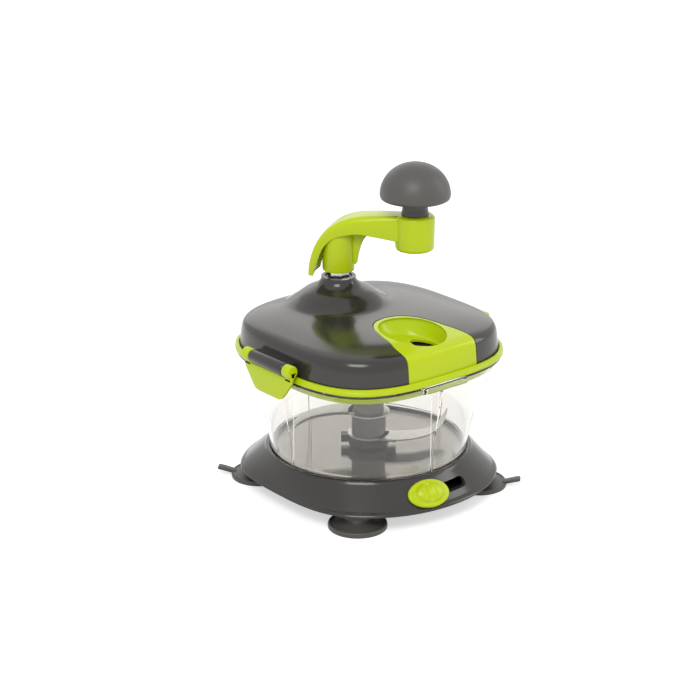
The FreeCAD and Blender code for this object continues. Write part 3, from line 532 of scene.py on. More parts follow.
# ---- bowl -------------------------------------------------------------------------------
# Clear polycarbonate bowl, round at the foot and nearly square at the rim, with a lip, a
# finger tab on the front of the rim, four upright ribs inside and a boss for the pin.
BOWL_WALL = 2.2
RIM = 108.8
RIM_LIP = 89.0
RIM_POWER = 3.12
BOWL_FLOOR = 31.4
BOWL_FOOT = 75.2
BOWL_INSIDE_FOOT = 73.0
BOWL_SECTIONS = [(BOWL_FOOT, DECK_TOP, 2.0), (75.9, 41.0, 2.08), (77.0, 54.0, 2.2),
                 (79.0, 66.5, 2.35), (83.0, 87.0, 2.66), (85.6, 99.0, 2.88), (87.0, 105.6, 2.95)]
RIB_RADIUS = 71.8
RIB_TOP = 99.0
RIB_HALF = 0.7
BOSS_RADIUS = 6.0
BOSS_TOP = 37.0
TAB_HALF = 21.0


def through(points, count):
    """Smooth line through the points: a Catmull-Rom spline, whose pull at each point is
    half the step between its two neighbours."""
    p = np.asarray(points, float)
    p = np.vstack([2 * p[0] - p[1], p, 2 * p[-1] - p[-2]])
    t = np.linspace(0, len(points) - 1, count)
    i = np.minimum(t.astype(int), len(points) - 2)
    f = (t - i)[:, None]
    a, b, c, d = p[i], p[i + 1], p[i + 2], p[i + 3]
    return 0.5 * (2 * b + (c - a) * f + (2 * a - 5 * b + 4 * c - d) * f ** 2
                  + (3 * b - a - 3 * c + d) * f ** 3)


def squared_rings(section, angle):
    """Rows of squared circles; the section gives each row's half width, height, power."""
    half, height, power = np.asarray(section, float).T
    radius = squared_radius(half[:, None], power[:, None], angle[None, :])
    return rings(radius, height, angle)


def with_power(line, power):
    """Section line of half widths and heights, with one power for all its rows."""
    return np.column_stack([line, np.full(len(line), power)])


def clear_material(name, colour, roughness):
    """Clear polycarbonate: glass with a faint smoky tint, whose polish is broken by soft
    patches and fine hairlines."""
    material, tree, surface = new_material(name)
    link = tree.links.new
    surface.inputs["Base Color"].default_value = (*colour, 1.0)
    surface.inputs["Transmission Weight"].default_value = 1.0
    surface.inputs["IOR"].default_value = 1.49
    place = placed(tree, "ShaderNodeTexCoord")
    stretch = placed(tree, "ShaderNodeMapping", Scale=(1.0, 1.0, 0.08), Rotation=(0.5, 0.3, 0.0))
    hairs = placed(tree, "ShaderNodeTexNoise", Scale=900.0, Detail=2.0)
    spread = placed(tree, "ShaderNodeMapRange", From_Min=0.62, From_Max=0.80,
                    To_Min=roughness, To_Max=roughness + 0.05)
    link(place.outputs["Object"], stretch.inputs["Vector"])
    link(stretch.outputs["Vector"], hairs.inputs["Vector"])
    link(hairs.outputs["Fac"], spread.inputs["Value"])
    link(spread.outputs["Result"], surface.inputs["Roughness"])
    return material


clear_plastic = clear_material("clear_polycarbonate", (0.930, 0.918, 0.895), 0.015)


def bowl_shell():
    """Rows of squared circles: up the outside, round the lip, down the inside at the wall's
    thickness, over the floor to its middle, and back under it."""
    outer = through(BOWL_SECTIONS, 44)
    outer[0, 0] -= 0.8
    lip = eased([(87.2, 106.3), (RIM_LIP, 106.3), (RIM_LIP, RIM), (85.4, RIM), (85.2, 107.0)],
                [0.2, 0.8, 0.8, 0.5, 0.2])
    inner = through(BOWL_SECTIONS, 44)[::-1]
    inner = inner[inner[:, 1] > BOWL_FLOOR + 3.0]
    inner[:, 0] -= BOWL_WALL
    floor = eased([(BOWL_INSIDE_FOOT, BOWL_FLOOR + 4.0), (BOWL_INSIDE_FOOT, BOWL_FLOOR),
                   (60.0, BOWL_FLOOR)], [0.1, 3.0, 0.1], 6)
    floor = np.vstack([floor[1:-1], [(30.0, BOWL_FLOOR), (0.0, BOWL_FLOOR), (0.0, DECK_TOP),
                                     (40.0, DECK_TOP), (BOWL_FOOT - 1.6, DECK_TOP)]])
    section = np.vstack([outer, with_power(lip, RIM_POWER), inner, with_power(floor, 2.0)])
    return solid("bowl_clear", [(squared_rings(section, around(288)), True, True)], 50.0)


def rib_tool(quarter):
    """Upright rib: a thin bar whose outer edge lies in the middle of the bowl's wall."""
    wall = through(BOWL_SECTIONS, 30)
    wall = wall[(wall[:, 1] > BOWL_FLOOR - 0.8) & (wall[:, 1] < RIB_TOP)]
    line = np.vstack([[(RIB_RADIUS, BOWL_FLOOR - 0.8)], wall[:, :2] - (BOWL_WALL / 2, 0.0),
                      [(84.4, RIB_TOP), (RIB_RADIUS, RIB_TOP)]])
    place = standing(turned_place(0, 0, 90 * quarter))
    return solid("rib", [billet(line, -RIB_HALF, RIB_HALF, 0.0, place)])


def bowl_extras():
    """Round boss in the middle of the floor, and a bar under the front of the lip."""
    boss = eased([(0.0, BOWL_FLOOR - 0.8), (BOSS_RADIUS, BOWL_FLOOR - 0.8),
                  (BOSS_RADIUS, BOSS_TOP), (0.0, BOSS_TOP)], [0.0, 0.0, 0.5, 0.0])
    boss = solid("boss", [(turned(boss, 64), False, True)])
    tab = flat_outline([(-TAB_HALF, -90.0), (TAB_HALF, -90.0), (TAB_HALF, -86.0),
                        (-TAB_HALF, -86.0)], [3.0, 3.0, 0.2, 0.2])
    tab = solid("tab", [billet(tab, RIM - 6.0, RIM - 1.0, 0.5, upright)])
    return [boss, tab]


bowl = combined(bowl_shell(), [rib_tool(q) for q in range(4)] + bowl_extras(), "UNION", 50.0)
fitted(bowl, clear_plastic, "bowl_body", "clear_plastic", "bowl")
dressed(plated_steel, "pivot_pin")


# ---- blade unit -------------------------------------------------------------------------
# Grey stem that turns on the pin, with a dark collar that has two small wings, a spacer,
# and two sickle blades stamped from thin steel. The lower blade's tip is bent upwards.
BLADE_ROOT = 12.0
BLADE_REACH = 67.0
BLADE_WIDTH = 22.0
BLADE_SWEEP = 46.0
BLADE_THICKNESS = 1.2
CORE_RADIUS = 9.0
LOWER_BLADE = 40.0
UPPER_BLADE = 58.0
LOWER_HEADING = -62.0
UPPER_HEADING = 128.0
LOWER_TIP_RISE = 9.0
stem_grey = finish("stem_grey", (0.200, 0.193, 0.186), 0.30, ripple=0.015, grain=0.004)
blade_steel = steel_material("blade_steel", (0.56, 0.56, 0.54), 0.30, (1.0, 9.0, 1.0))


def blade_points(z, heading, tip_rise):
    """Sickle arm: at each radius the arm sweeps round by BLADE_SWEEP degrees times the
    share of reach to the power 1.3, narrows towards the tip, and its leading edge is
    ground thin. Each row goes over the top and back underneath."""
    share = np.linspace(0, 1, 48)[:, None]
    radius = BLADE_ROOT + (BLADE_REACH - BLADE_ROOT) * share
    middle = BLADE_SWEEP * share ** 1.3
    width = BLADE_WIDTH * (1.0 - share ** 2.2) ** 0.8 + 0.6
    spread = np.degrees(width / 2 / radius)
    over = np.linspace(-1, 1, 17)
    across = np.concatenate([over, over[::-1]])[None, :]
    turn = np.radians(heading + middle + spread * across)
    ground = np.clip((1 - across) / 0.34, 0.12, 1)
    half = BLADE_THICKNESS / 2 * ground
    side = np.repeat([1.0, -1.0], len(over))[None, :]
    bend = tip_rise * np.clip((share - 0.62) / 0.38, 0, 1) ** 1.6
    height = z + BLADE_THICKNESS / 2 + side * half + bend
    return np.stack([radius * np.cos(turn), radius * np.sin(turn), height], -1)


def capped(rows):
    """Closes an open run of rows with a point at each end."""
    ends = [np.broadcast_to(row.mean(0), row.shape)[None] for row in (rows[0], rows[-1])]
    return np.concatenate([ends[0], rows, ends[1]]), False, True


def blade_ring(z):
    """Flat ring with eased edges that joins the blade to its core."""
    section = eased([(16.0, z), (16.0, z + BLADE_THICKNESS), (CORE_RADIUS, z + BLADE_THICKNESS),
                     (CORE_RADIUS, z)], 0.25, 3)
    return turned(section, 72), True, True


for name, z, heading, rise in (("lower_blade", LOWER_BLADE, LOWER_HEADING, LOWER_TIP_RISE),
                               ("upper_blade", UPPER_BLADE, UPPER_HEADING, 0.0)):
    sickle = solid(name + "_steel", [capped(blade_points(z, heading, rise)), blade_ring(z)], 30.0)
    fitted(sickle, blade_steel, "blade_unit", "steel", name)
dressed(stem_grey, "blade_stem", "blade_spacer", "drive_socket")
collar_dark = finish("collar_dark", (0.060, 0.057, 0.054), 0.33)
dressed(collar_dark, "blade_collar")


# ---- lid shell --------------------------------------------------------------------------
# Lid moulded in the same dark glossy ABS. It is a low squared dome, out of which a cone
# rises to the collar of the crank shaft. The front is open where the spout tray fits, and
# a lug on each side carries a latch.
FLANGE_TOP = 111.3
LID_HALF = 86.8
LID_WALL = 2.4
LID_SECTION = [(0.0, 0.0), (0.9, 10.0), (1.5, 14.8), (2.4, 18.2), (4.4, 20.7), (8.0, 22.1),
               (14.0, 23.2), (28.0, 25.0), (48.0, 26.2), (74.0, 26.7), (87.0, 26.7)]
SHAFT_Y = 36.3
HUB_TOP = 158.0
HUB_EYE = 13.2
HUB_FILLET = 3.2
HUB_SECTION = [(HUB_EYE, HUB_TOP), (13.9, 155.0), (17.0, 151.5), (25.4, 147.0), (32.0, 142.0),
               (37.6, 137.6), (42.5, 132.0), (60.0, 108.0), (140.0, 0.0)]
BUSH_RADIUS = 10.5
CAP_INSET = 5.0
LATCH_X = 94.5
LATCH_Z = 119.5
LUG_HALF = 20.0
KNUCKLE = 5.0
SPOUT_EDGE = [(33.0, -78.0), (31.5, -68.0), (28.0, -56.0), (25.5, -44.0), (20.5, -30.0),
              (11.5, -20.5), (0.0, -17.5)]
lid_line = through(LID_SECTION, 400)
hub_line = through(HUB_SECTION, 400)


def from_edge(x, y):
    """How far in from the lid's edge a point in plan lies: the lid's half width less the
    half width (|x|^power + |y|^power)^(1/power) of the squared circle through the point."""
    return LID_HALF - (np.abs(x) ** RIM_POWER + np.abs(y) ** RIM_POWER) ** (1 / RIM_POWER)


def lid_height(x, y):
    """Height of the lid's dome: the rise that the lid's section has at that inset."""
    return FLANGE_TOP + np.interp(from_edge(x, y), lid_line[:, 0], lid_line[:, 1])


def dome_height(x, y):
    """Dome and cone together, blended by a smooth maximum that fills the corner."""
    lid = lid_height(x, y)
    hub = np.interp(np.hypot(x, y - SHAFT_Y), hub_line[:, 0], hub_line[:, 1])
    blend = HUB_FILLET * np.clip((HUB_TOP - 2 - hub) / 8.0, 0, 1)
    return 0.5 * (lid + hub + np.sqrt((lid - hub) ** 2 + blend ** 2))


def dome_rows(wall, angle):
    """Outside rows of the lid, or inside rows when wall is its thickness: up the side
    from the flange, then inwards from a squared outline to the collar's circle."""
    side = lid_line[lid_line[:, 0] < CAP_INSET][::6]
    half = LID_HALF - side[:, 0] - wall
    height = FLANGE_TOP + np.maximum(side[:, 1] - wall, 0)
    walls = squared_rings(with_power(np.stack([half, height], -1), RIM_POWER), angle)
    inward = np.linspace(0, 1, 96)[:, None]
    inward = 1 - (1 - inward) ** 1.45
    rim = squared_radius(LID_HALF - CAP_INSET - wall, RIM_POWER, angle)[None, :]
    eye = HUB_EYE - wall * 0.6
    x = (1 - inward) * rim * np.cos(angle) + inward * eye * np.cos(angle)
    y = (1 - inward) * rim * np.sin(angle) + inward * (SHAFT_Y + eye * np.sin(angle))
    height = dome_height(x, y) - wall
    return np.concatenate([walls, np.stack([x, y, height], -1)])


def lug_grids(side):
    """Rod on the latch's axis with a web back to the lid: an outline in x and z, run
    along y with rounded ends."""
    turn = np.linspace(math.radians(70), math.radians(290), 26)
    rod = np.stack([-LATCH_X + KNUCKLE * np.cos(turn), LATCH_Z + KNUCKLE * np.sin(turn)], -1)
    web = [(-LID_HALF + 2.2, LATCH_Z - 2.6), (-LID_HALF + 2.2, LATCH_Z + 3.6)]
    outline = np.vstack([rod, web])

    return billet(outline, -LUG_HALF, LUG_HALF, 1.2,
                  lambda u, v, h: np.stack([-side * u, h, v], -1))


def spout_line(margin, count):
    """Right-hand edge of the spout opening from front to back, moved outwards by a
    margin along the line's normal."""
    line = through(SPOUT_EDGE, count)
    step = np.gradient(line, axis=0)
    out = np.stack([step[:, 1], -step[:, 0]], -1)
    out /= np.linalg.norm(out, axis=1)[:, None]
    out[-1] = (0.0, 1.0)
    return line + out * margin


def spout_prism():
    """Upright block that cuts the opening for the spout tray, out through the front."""
    right = spout_line(0.2, 60)
    right = np.vstack([[(right[0, 0], -110.0)], right])
    outline = np.vstack([right, right[-2::-1] * (-1, 1)])
    return solid("opening", [billet(outline, 104.0, 150.0, 0.0, upright)])


def lid_shell():
    """Outside rows up to the collar, its eased edge and bore, and the inside rows back."""
    angle = around(320)
    outside = dome_rows(0.0, angle)
    collar = eased([(HUB_EYE, HUB_TOP), (BUSH_RADIUS, HUB_TOP), (BUSH_RADIUS, HUB_TOP - 6.0)],
                   [0.0, 0.3, 0.1], 4)[4:]
    bore = turned(collar, len(angle), 0.0, SHAFT_Y)
    inside = dome_rows(LID_WALL, angle)[::-1]
    return solid("lid_dome", [(np.concatenate([outside, bore, inside]), True, True)])


lid = combined(lid_shell(), [spout_prism()], "DIFFERENCE", 32.0)
fitted(lid, grey_gloss, "lid", "grey_plastic", "lid_shell")
lugs = solid("latch_lugs", [lug_grids(1), lug_grids(-1)])
fitted(lugs, grey_gloss, "lid", "grey_plastic")


# ---- spout tray -------------------------------------------------------------------------
# Lime tray let into the front of the lid. It follows the dome and the front wall, and has
# an oval dish whose floor slopes to a chute hole on the right. A dark chute hangs below.
DISH_Y = -50.0
DISH_HALF_X = 23.5
DISH_HALF_Y = 28.0
DISH_FLOOR = 126.0
DISH_SLOPE = 0.1167
DISH_CORNER = 0.88
CHUTE_X = 10.3
CHUTE_Y = -54.0
CHUTE_HALF_X = 9.3
CHUTE_HALF_Y = 14.6
TRAY_WALL = 2.2
TRAY_FOOT = 0.4
section_length = np.concatenate([[0.0], np.cumsum(np.hypot(*np.diff(lid_line, axis=0).T))])


def along_dome(x, y):
    """How far up the lid's section a point in plan lies, measured along the section."""
    return np.interp(from_edge(x, y), lid_line[:, 0], section_length)


def dome_point(x, s):
    """Point of the lid's front from x and the distance up its section."""
    inset = np.interp(s, section_length, lid_line[:, 0])
    rise = np.interp(s, section_length, lid_line[:, 1])
    half = LID_HALF - inset
    y = -np.maximum(half ** RIM_POWER - np.abs(x) ** RIM_POWER, 0.0) ** (1 / RIM_POWER)
    return np.stack([x, y, FLANGE_TOP + rise], -1)


def sunk(x, s, depth):
    """Point of the dome moved in along its normal, found from two nearby points."""
    small = 0.05
    point = dome_point(x, s)
    normal = np.cross(dome_point(x + small, s) - point, dome_point(x, s + small) - point)
    normal /= np.linalg.norm(normal, axis=-1)[..., None]
    return point - normal * depth


def reach_of(line, centre, angle):
    """Distance from a centre to a closed line, in each direction, by interpolation."""
    off = line - centre
    turn = np.arctan2(off[:, 1], off[:, 0]) % (2 * math.pi)
    order = np.argsort(turn)
    return np.interp(angle, turn[order], np.hypot(off[:, 0], off[:, 1])[order], period=2 * math.pi)


def tray_rows():
    """Rows from the tray's outer edge over the dome to the dish's brim, down the dish to
    its floor, down the chute hole, and back along the underside."""
    angle = around(320)
    right = spout_line(-0.15, 200)
    edge_s = along_dome(right[:, 0], right[:, 1])
    wall_s = np.linspace(TRAY_FOOT, edge_s[0], 60)[:-1]
    foot_x = np.linspace(0, right[0, 0], 60)[:-1]
    half = np.concatenate([np.stack([foot_x, np.full_like(foot_x, TRAY_FOOT)], -1),
                           np.stack([np.full_like(wall_s, right[0, 0]), wall_s], -1),
                           np.stack([right[:, 0], edge_s], -1)])
    line = np.vstack([half, half[::-1] * (-1, 1)])
    brim_x = DISH_HALF_X * np.cos(angle)
    brim_y = DISH_Y + DISH_HALF_Y * np.sin(angle)
    brim = np.stack([brim_x, along_dome(brim_x, brim_y)], -1)
    centre = np.array([0.0, (brim[:, 1].max() + brim[:, 1].min()) / 2])
    way = np.stack([np.cos(angle), np.sin(angle)], -1)
    far = reach_of(line, centre, angle)
    near = reach_of(brim, centre, angle)

    def row(reach, depth):
        """Points at a distance from the centre and a depth under the dome."""
        return sunk(centre[0] + reach * way[:, 0], centre[1] + reach * way[:, 1], depth)
    turn = np.linspace(0, math.pi / 2, 6)
    edge, lip = 0.7, 1.5
    rows = [row(far, TRAY_WALL)]
    rows += [row(far - edge * (1 - math.cos(a)), edge * (1 - math.sin(a))) for a in turn]
    start, end = far - edge, near + lip
    rows += [row(start + (end - start) * t, 0.0) for t in np.linspace(0.04, 0.98, 16)]
    rows += [row(near + lip * math.cos(a), lip * (1 - math.sin(a))) for a in turn[::-1]]
    top = rows[-1]
    corner_x = top[:, 0] * DISH_CORNER
    corner = np.stack([corner_x, DISH_Y + (top[:, 1] - DISH_Y) * DISH_CORNER,
                       DISH_FLOOR - DISH_SLOPE * corner_x], -1)
    turn_of = np.arctan2((corner[:, 1] - DISH_Y) / DISH_HALF_Y, corner[:, 0] / DISH_HALF_X)
    hole_x = CHUTE_X + CHUTE_HALF_X * np.cos(turn_of)
    hole_y = CHUTE_Y + CHUTE_HALF_Y * np.sin(turn_of)
    hole = np.stack([hole_x, hole_y, DISH_FLOOR - DISH_SLOPE * hole_x], -1)
    flat = corner + (hole - corner) * 0.30
    t = np.linspace(0.08, 1, 14)[:, None, None]
    rows += list(top * (1 - t) ** 2 + 2 * corner * t * (1 - t) + flat * t ** 2)
    out = hole - flat
    out /= np.maximum(np.linalg.norm(out, axis=-1), 1e-6)[:, None]
    brink = 0.6
    rows += [flat + (hole - out * brink - flat) * t for t in (0.35, 0.7, 1.0)]
    down = np.array([0.0, 0.0, -1.0])
    rows += [hole - out * brink * (1 - math.sin(a)) + down * brink * (1 - math.cos(a))
             for a in turn[1:]]
    rows += [hole + down * TRAY_WALL, corner * (1.05, 1.0, 1.0) + down * TRAY_WALL]
    rows += [row(near + TRAY_WALL, TRAY_WALL)]
    return np.stack(rows), True, True


lime_tray = solid("spout_tray", [tray_rows()], 50.0)
fitted(lime_tray, lime_gloss, "lid", "lime_plastic", "spout_insert")
dressed(grey_gloss, "pour_chute")


# ---- lid ring ---------------------------------------------------------------------------
# Lime ring under the lid. Its flange lies on the bowl's rim, a ridge frames the lid, and a
# skirt with a pale gasket goes down inside the bowl.
RING_HALF = 90.0
RING_TOP = 113.5
RING_HOLE = 76.0
RING_SKIRT = (81.25, 82.75, 84.5)
RING_SKIRT_FOOT = 100.7


def ring_section():
    """Half widths and heights: the ridge outside, the seat of the lid, the flange's inner
    edge, and the skirt that goes down inside the bowl and widens upwards."""
    seat = RIM + 0.02
    under_lid = FLANGE_TOP - 0.05
    inner, outer, root = RING_SKIRT
    corners = [(RING_HALF, seat), (RING_HALF, RIM + 2.6), (RING_HALF - 0.45, RIM + 3.0),
               (RING_HALF - 0.3, RING_TOP), (LID_HALF + 0.35, RING_TOP),
               (LID_HALF + 0.25, under_lid), (RING_HOLE, under_lid), (RING_HOLE, seat),
               (inner, seat), (inner, RING_SKIRT_FOOT), (outer, RING_SKIRT_FOOT), (root, seat)]
    radius = [0.5, 0.3, 0.3, 1.0, 0.7, 0.2, 0.2, 0.2, 0.2, 0.3, 0.3, 0.2]
    return with_power(eased(corners, radius, 4), RIM_POWER)


ring = solid("rim_ring", [(squared_rings(ring_section(), around(320)), True, True)])
fitted(ring, lime_gloss, "lid", "lime_plastic", "lid_ring")
pale_rubber = finish("pale_rubber", (0.56, 0.66, 0.22), 0.5, mottle=0.06)
dressed(pale_rubber, "lid_gasket")
dressed(grey_gloss, "lid_liner")
dressed(plated_steel, "liner_screws")
white_acetal = finish("white_acetal", (0.76, 0.76, 0.72), 0.42)
dressed(white_acetal, "drive_gear", "pinion", "pinion_bush")
dressed(collar_dark, "shaft_bush")


# ---- latches ----------------------------------------------------------------------------
# Lime latch on each side of the lid: a tapered plate with a rolled knuckle at both ends of
# its top edge, which turns on a steel pin, and a hook that goes under the bowl's lip.
LATCH_HALF = 28.0
LATCH_TAPER = 12.5
LATCH_TOP = 114.4
LATCH_KNEE = 110.4
LATCH_BOTTOM = 94.7
LATCH_FACE = -96.1
LATCH_THICKNESS = 2.5
LATCH_GAP = 0.3
HOOK_HALF = 14.0


def latch_grids(side):
    """Plate cut to its outline in y and z; knuckles are rods along y, each with a web down
    to the plate; the hook is a bar along y."""
    half, waist = LATCH_HALF, LATCH_HALF - LATCH_TAPER
    plan = eased([(half, LATCH_TOP), (half, LATCH_KNEE), (waist, LATCH_BOTTOM),
                  (-waist, LATCH_BOTTOM), (-half, LATCH_KNEE), (-half, LATCH_TOP)],
                 [1.6, 4.0, 5.0, 5.0, 4.0, 1.6], 8)

    def plate_place(u, v, h):
        """u along y, v up, and the height inwards from the plate's face."""
        return np.stack([side * (LATCH_FACE + h), u, v], -1)

    def rod_place(u, v, h):
        """u inwards and v up from the hinge's axis, and the height along y."""
        return np.stack([side * (-LATCH_X + u), h, LATCH_Z + v], -1)

    turn = around(40)
    rod = np.stack([KNUCKLE * np.cos(turn), KNUCKLE * np.sin(turn)], -1)
    web = flat_outline([(-1.6, 0.0), (-1.6, -8.0), (0.9, -8.0), (3.4, 0.0)],
                       [0.2, 0.8, 0.8, 0.2])
    hook = flat_outline([(0.4, -13.7), (5.3, -13.7), (5.3, -14.6), (1.9, -16.3), (0.4, -16.3)],
                        0.4)
    grids = [billet(plan, 0.0, LATCH_THICKNESS, 0.7, plate_place),
             billet(hook, -HOOK_HALF, HOOK_HALF, 0.4, rod_place)]
    near = LUG_HALF + LATCH_GAP
    for low, high in ((near, half), (-half, -near)):
        grids += [billet(rod, low, high, 1.0, rod_place), billet(web, low, high, 0.8, rod_place)]
    return grids


for name, side in (("left", 1), ("right", -1)):
    latch = solid("latch_plate_" + name, latch_grids(side))
    fitted(latch, lime_gloss, name + "_latch", "lime_plastic", "latch_" + name)
dressed(plated_steel, "latch_pin_left", "latch_pin_right")


# ---- crank ------------------------------------------------------------------------------
# Lime crank arm: a channel that arches from the shaft's hub over to a socket for the knob.
# A rib stiffens the corner by the hub. The steel shaft's hexagon shows below the hub.
CRANK_HEADING = math.atan2(-46.7, 35.9)
CRANK_LENGTH = 59.0
HUB_LOW = 162.8
HUB_RADIUS = 12.3
HUB_ROOF = 186.0
HUB_HIGH = 192.0
HUB_LEAN = 0.24
SHAFT_FIT = 8.6
SOCKET_LOW = 183.0
SOCKET_HIGH = 210.0
SOCKET_RADIUS = 15.2
ARM_WIDTH_HUB = 26.0
ARM_WIDTH_SOCKET = 19.0
ARM_WALL = 2.6
ARM_TAPER_FROM = 10
ARCH_TOP = [(-21.4, 160.6), (-20.9, 168.0), (-18.9, 177.0), (-14.8, 186.5), (-8.2, 195.5),
            (1.0, 202.5), (12.5, 206.8), (25.0, 208.6), (40.0, 209.6), (CRANK_LENGTH - 4, 210.0)]
ARCH_UNDER = [(-17.2, 160.0), (-15.6, 166.0), (-13.0, 174.0), (-9.0, 182.6), (-2.6, 189.1),
              (7.0, 193.0), (18.0, 194.6), (33.0, 192.8), (CRANK_LENGTH - 4, 189.2)]


def on_crank(s, across, height):
    """Turns the crank's own side view into place: s runs out from the shaft's axis."""
    c, n = math.cos(CRANK_HEADING), math.sin(CRANK_HEADING)
    return np.stack([s * c - across * n, SHAFT_Y + s * n + across * c, height], -1)


def channel_rows():
    """Upside-down channel carried along the arch: at each station the section stands from
    the under line to the top line, as wide as the arm is there."""
    top = through(ARCH_TOP, 72)
    under = through(ARCH_UNDER, 72)
    s = (top[:, 0] + under[:, 0]) / 2
    share = np.clip((s - ARM_TAPER_FROM) / (CRANK_LENGTH - ARM_TAPER_FROM), 0, 1)
    half = (ARM_WIDTH_HUB + (ARM_WIDTH_SOCKET - ARM_WIDTH_HUB) * share) / 2
    tall = np.linalg.norm(top - under, axis=1)
    up = (top - under) / tall[:, None]
    wall = ARM_WALL / half
    roof = 1 - ARM_WALL / tall

    def section(w, r):
        """Channel of half width and height one: w is the wall's share, r the roof's level."""
        corners = [(-1, 0), (-1, 1), (1, 1), (1, 0),
                   (1 - w, 0), (1 - w, r), (-1 + w, r), (-1 + w, 0)]
        return eased(corners, [0.06, 0.42, 0.42, 0.06, 0.06, 0.2, 0.2, 0.06], 7)
    flat = np.stack([section(w, r) for w, r in zip(wall, roof)])
    across = flat[..., 0] * half[:, None]
    level = flat[..., 1] * tall[:, None]
    along = under[:, None, :] + level[..., None] * up[:, None, :]
    return capped(on_crank(along[..., 0], across, along[..., 1]))


def crank_turned(section, x=0.0, count=96):
    """Rows turned round an upright axis that stands at a distance along the crank."""
    turn = around(count)[None, :]
    radius = section[:, :1]
    return on_crank(x + radius * np.cos(turn), radius * np.sin(turn),
                    np.broadcast_to(section[:, 1:2], (len(section), count)))


def arm_grids():
    """Channel, socket, hub and rib. The hub is turned round the shaft, and its top leans
    with the arch: each point rises by HUB_LEAN times its distance out along the crank."""
    socket = eased([(0.0, SOCKET_LOW), (SOCKET_RADIUS - 0.4, SOCKET_LOW),
                    (SOCKET_RADIUS, SOCKET_HIGH), (6.0, SOCKET_HIGH), (0.0, SOCKET_HIGH)],
                   [0.0, 2.6, 3.4, 0.4, 0.0], 8)
    hub = eased([(SHAFT_FIT, HUB_LOW), (HUB_RADIUS, HUB_LOW), (HUB_RADIUS, HUB_HIGH),
                 (0.0, HUB_HIGH), (0.0, HUB_ROOF), (SHAFT_FIT, HUB_ROOF)],
                [0.3, 0.8, 0.6, 0.0, 0.0, 0.2], 4)
    boss = crank_turned(hub)
    lean = np.where(hub[:, 1] > HUB_ROOF + 2, HUB_LEAN, 0.0) * hub[:, 0]
    boss[..., 2] += lean[:, None] * np.cos(around(boss.shape[1]))[None, :]
    rib = flat_outline([(8.0, 168.4), (14.4, 168.4), (16.5, 180.0), (20.0, 189.0), (26.0, 196.0),
                        (8.0, 198.0)], [0.2, 1.0, 6.0, 6.0, 0.2, 0.2])
    return [channel_rows(), (crank_turned(socket, CRANK_LENGTH), False, True),
            (boss, True, True), billet(rib, -2.5, 2.5, 0.7, standing(on_crank))]


arm = solid("crank_channel", arm_grids())
fitted(arm, lime_gloss, "crank", "lime_plastic", "crank_arm")
dressed(lime_gloss, "socket_plug")
bright_steel = steel_material("bright_steel", (0.74, 0.74, 0.73), 0.15, (1.0, 1.0, 8.0))
dressed(bright_steel, "crank_shaft", "shaft_washer", "shaft_screw", "knob_pin", "knob_clip")


# ---- knob -------------------------------------------------------------------------------
# Mushroom knob with a satin face. A waisted neck turns on the pin in the crank's socket,
# and the cap is a dome with a rolled brim, dished a little underneath.
KNOB_RADIUS = 26.7
KNOB_LOW = 222.0
KNOB_TOP = 250.1
KNOB_SEAT = 224.0
satin_grey = finish("satin_grey", (0.096, 0.089, 0.083), 0.44, mottle=0.05, polish=0.10,
                    ripple=0.006, grain=0.006, grain_size=2600.0)


def knob_section():
    """Cap: from the seat on the neck out under the brim, then a dome whose height falls
    off as an ellipse of power 2.1."""
    turn = np.linspace(0, math.pi / 2, 40)
    brow = KNOB_LOW + 3.6
    r = KNOB_RADIUS
    dome = np.stack([r * np.cos(turn) ** 0.96, brow + (KNOB_TOP - brow) * np.sin(turn)], -1)
    under = eased([(0.0, KNOB_SEAT), (12.0, 223.4), (r * 0.86, KNOB_LOW),
                   (r * 0.975, KNOB_LOW + 0.7), (r, brow)], [0.0, 2.0, 3.0, 2.4, 0.0], 6)[5:-5]
    return np.vstack([[(0.0, KNOB_SEAT)], under, dome[:-1], [(0.0, KNOB_TOP)]])


cap = solid("knob_dome", [(crank_turned(knob_section(), CRANK_LENGTH, 144), False, True)], 60.0)
fitted(cap, satin_grey, "knob", "knob_plastic", "knob_cap")
# The neck gets a darker grey than the cap: painted shade for the shadow under the cap's brim.
neck_painted_shade = finish("neck_painted_shade", (0.062, 0.058, 0.054), 0.36, mottle=0.05)
neck_line = eased([(3.6, 210.3), (10.4, 210.3), (10.1, 212.6), (9.4, 216.4), (10.4, 220.4),
                   (13.0, 223.6), (3.6, 223.6)], [0.1, 0.5, 2.0, 4.0, 3.0, 0.2, 0.1], 6)
neck = solid("knob_neck", [(crank_turned(neck_line, CRANK_LENGTH), True, True)], 50.0)
fitted(neck, neck_painted_shade, "knob", "knob_plastic", "knob_stem")


# ---- floor, light and camera ------------------------------------------------------------
# A plain white floor that runs into a white surround, soft light from all round with one
# large lamp above the left shoulder, and a long lens at a low angle.
CAMERA_TARGET = Vector((0.0, 0.0, 99.0))
CAMERA_BACK = Vector((-0.5932, -0.7271, 0.3456))
CAMERA_RIGHT = Vector((0.7748, -0.6321, 0.0))
CAMERA_UP = Vector((0.2185, 0.2678, 0.9384))
CAMERA_DISTANCE = 1526.1
CAMERA_LEFT = 14.2
CAMERA_RISE = 7.81
WHITE = (1.0, 1.0, 1.0, 1.0)
SURROUND_LIGHT = 0.60
FLOOR_GLOW = 0.55
FLOOR_REACH = 4.0
LAMP_AIM = (0, 0, 0.1)


def seen_directly(tree):
    """One for camera, glossy and transmission rays, and nothing for other rays."""
    path = tree.nodes.new("ShaderNodeLightPath")
    either = path.outputs["Is Camera Ray"]
    for name in ("Is Glossy Ray", "Is Transmission Ray"):
        most = tree.nodes.new("ShaderNodeMath")
        most.operation = "MAXIMUM"
        tree.links.new(either, most.inputs[0])
        tree.links.new(path.outputs[name], most.inputs[1])
        either = most.outputs[0]
    return either


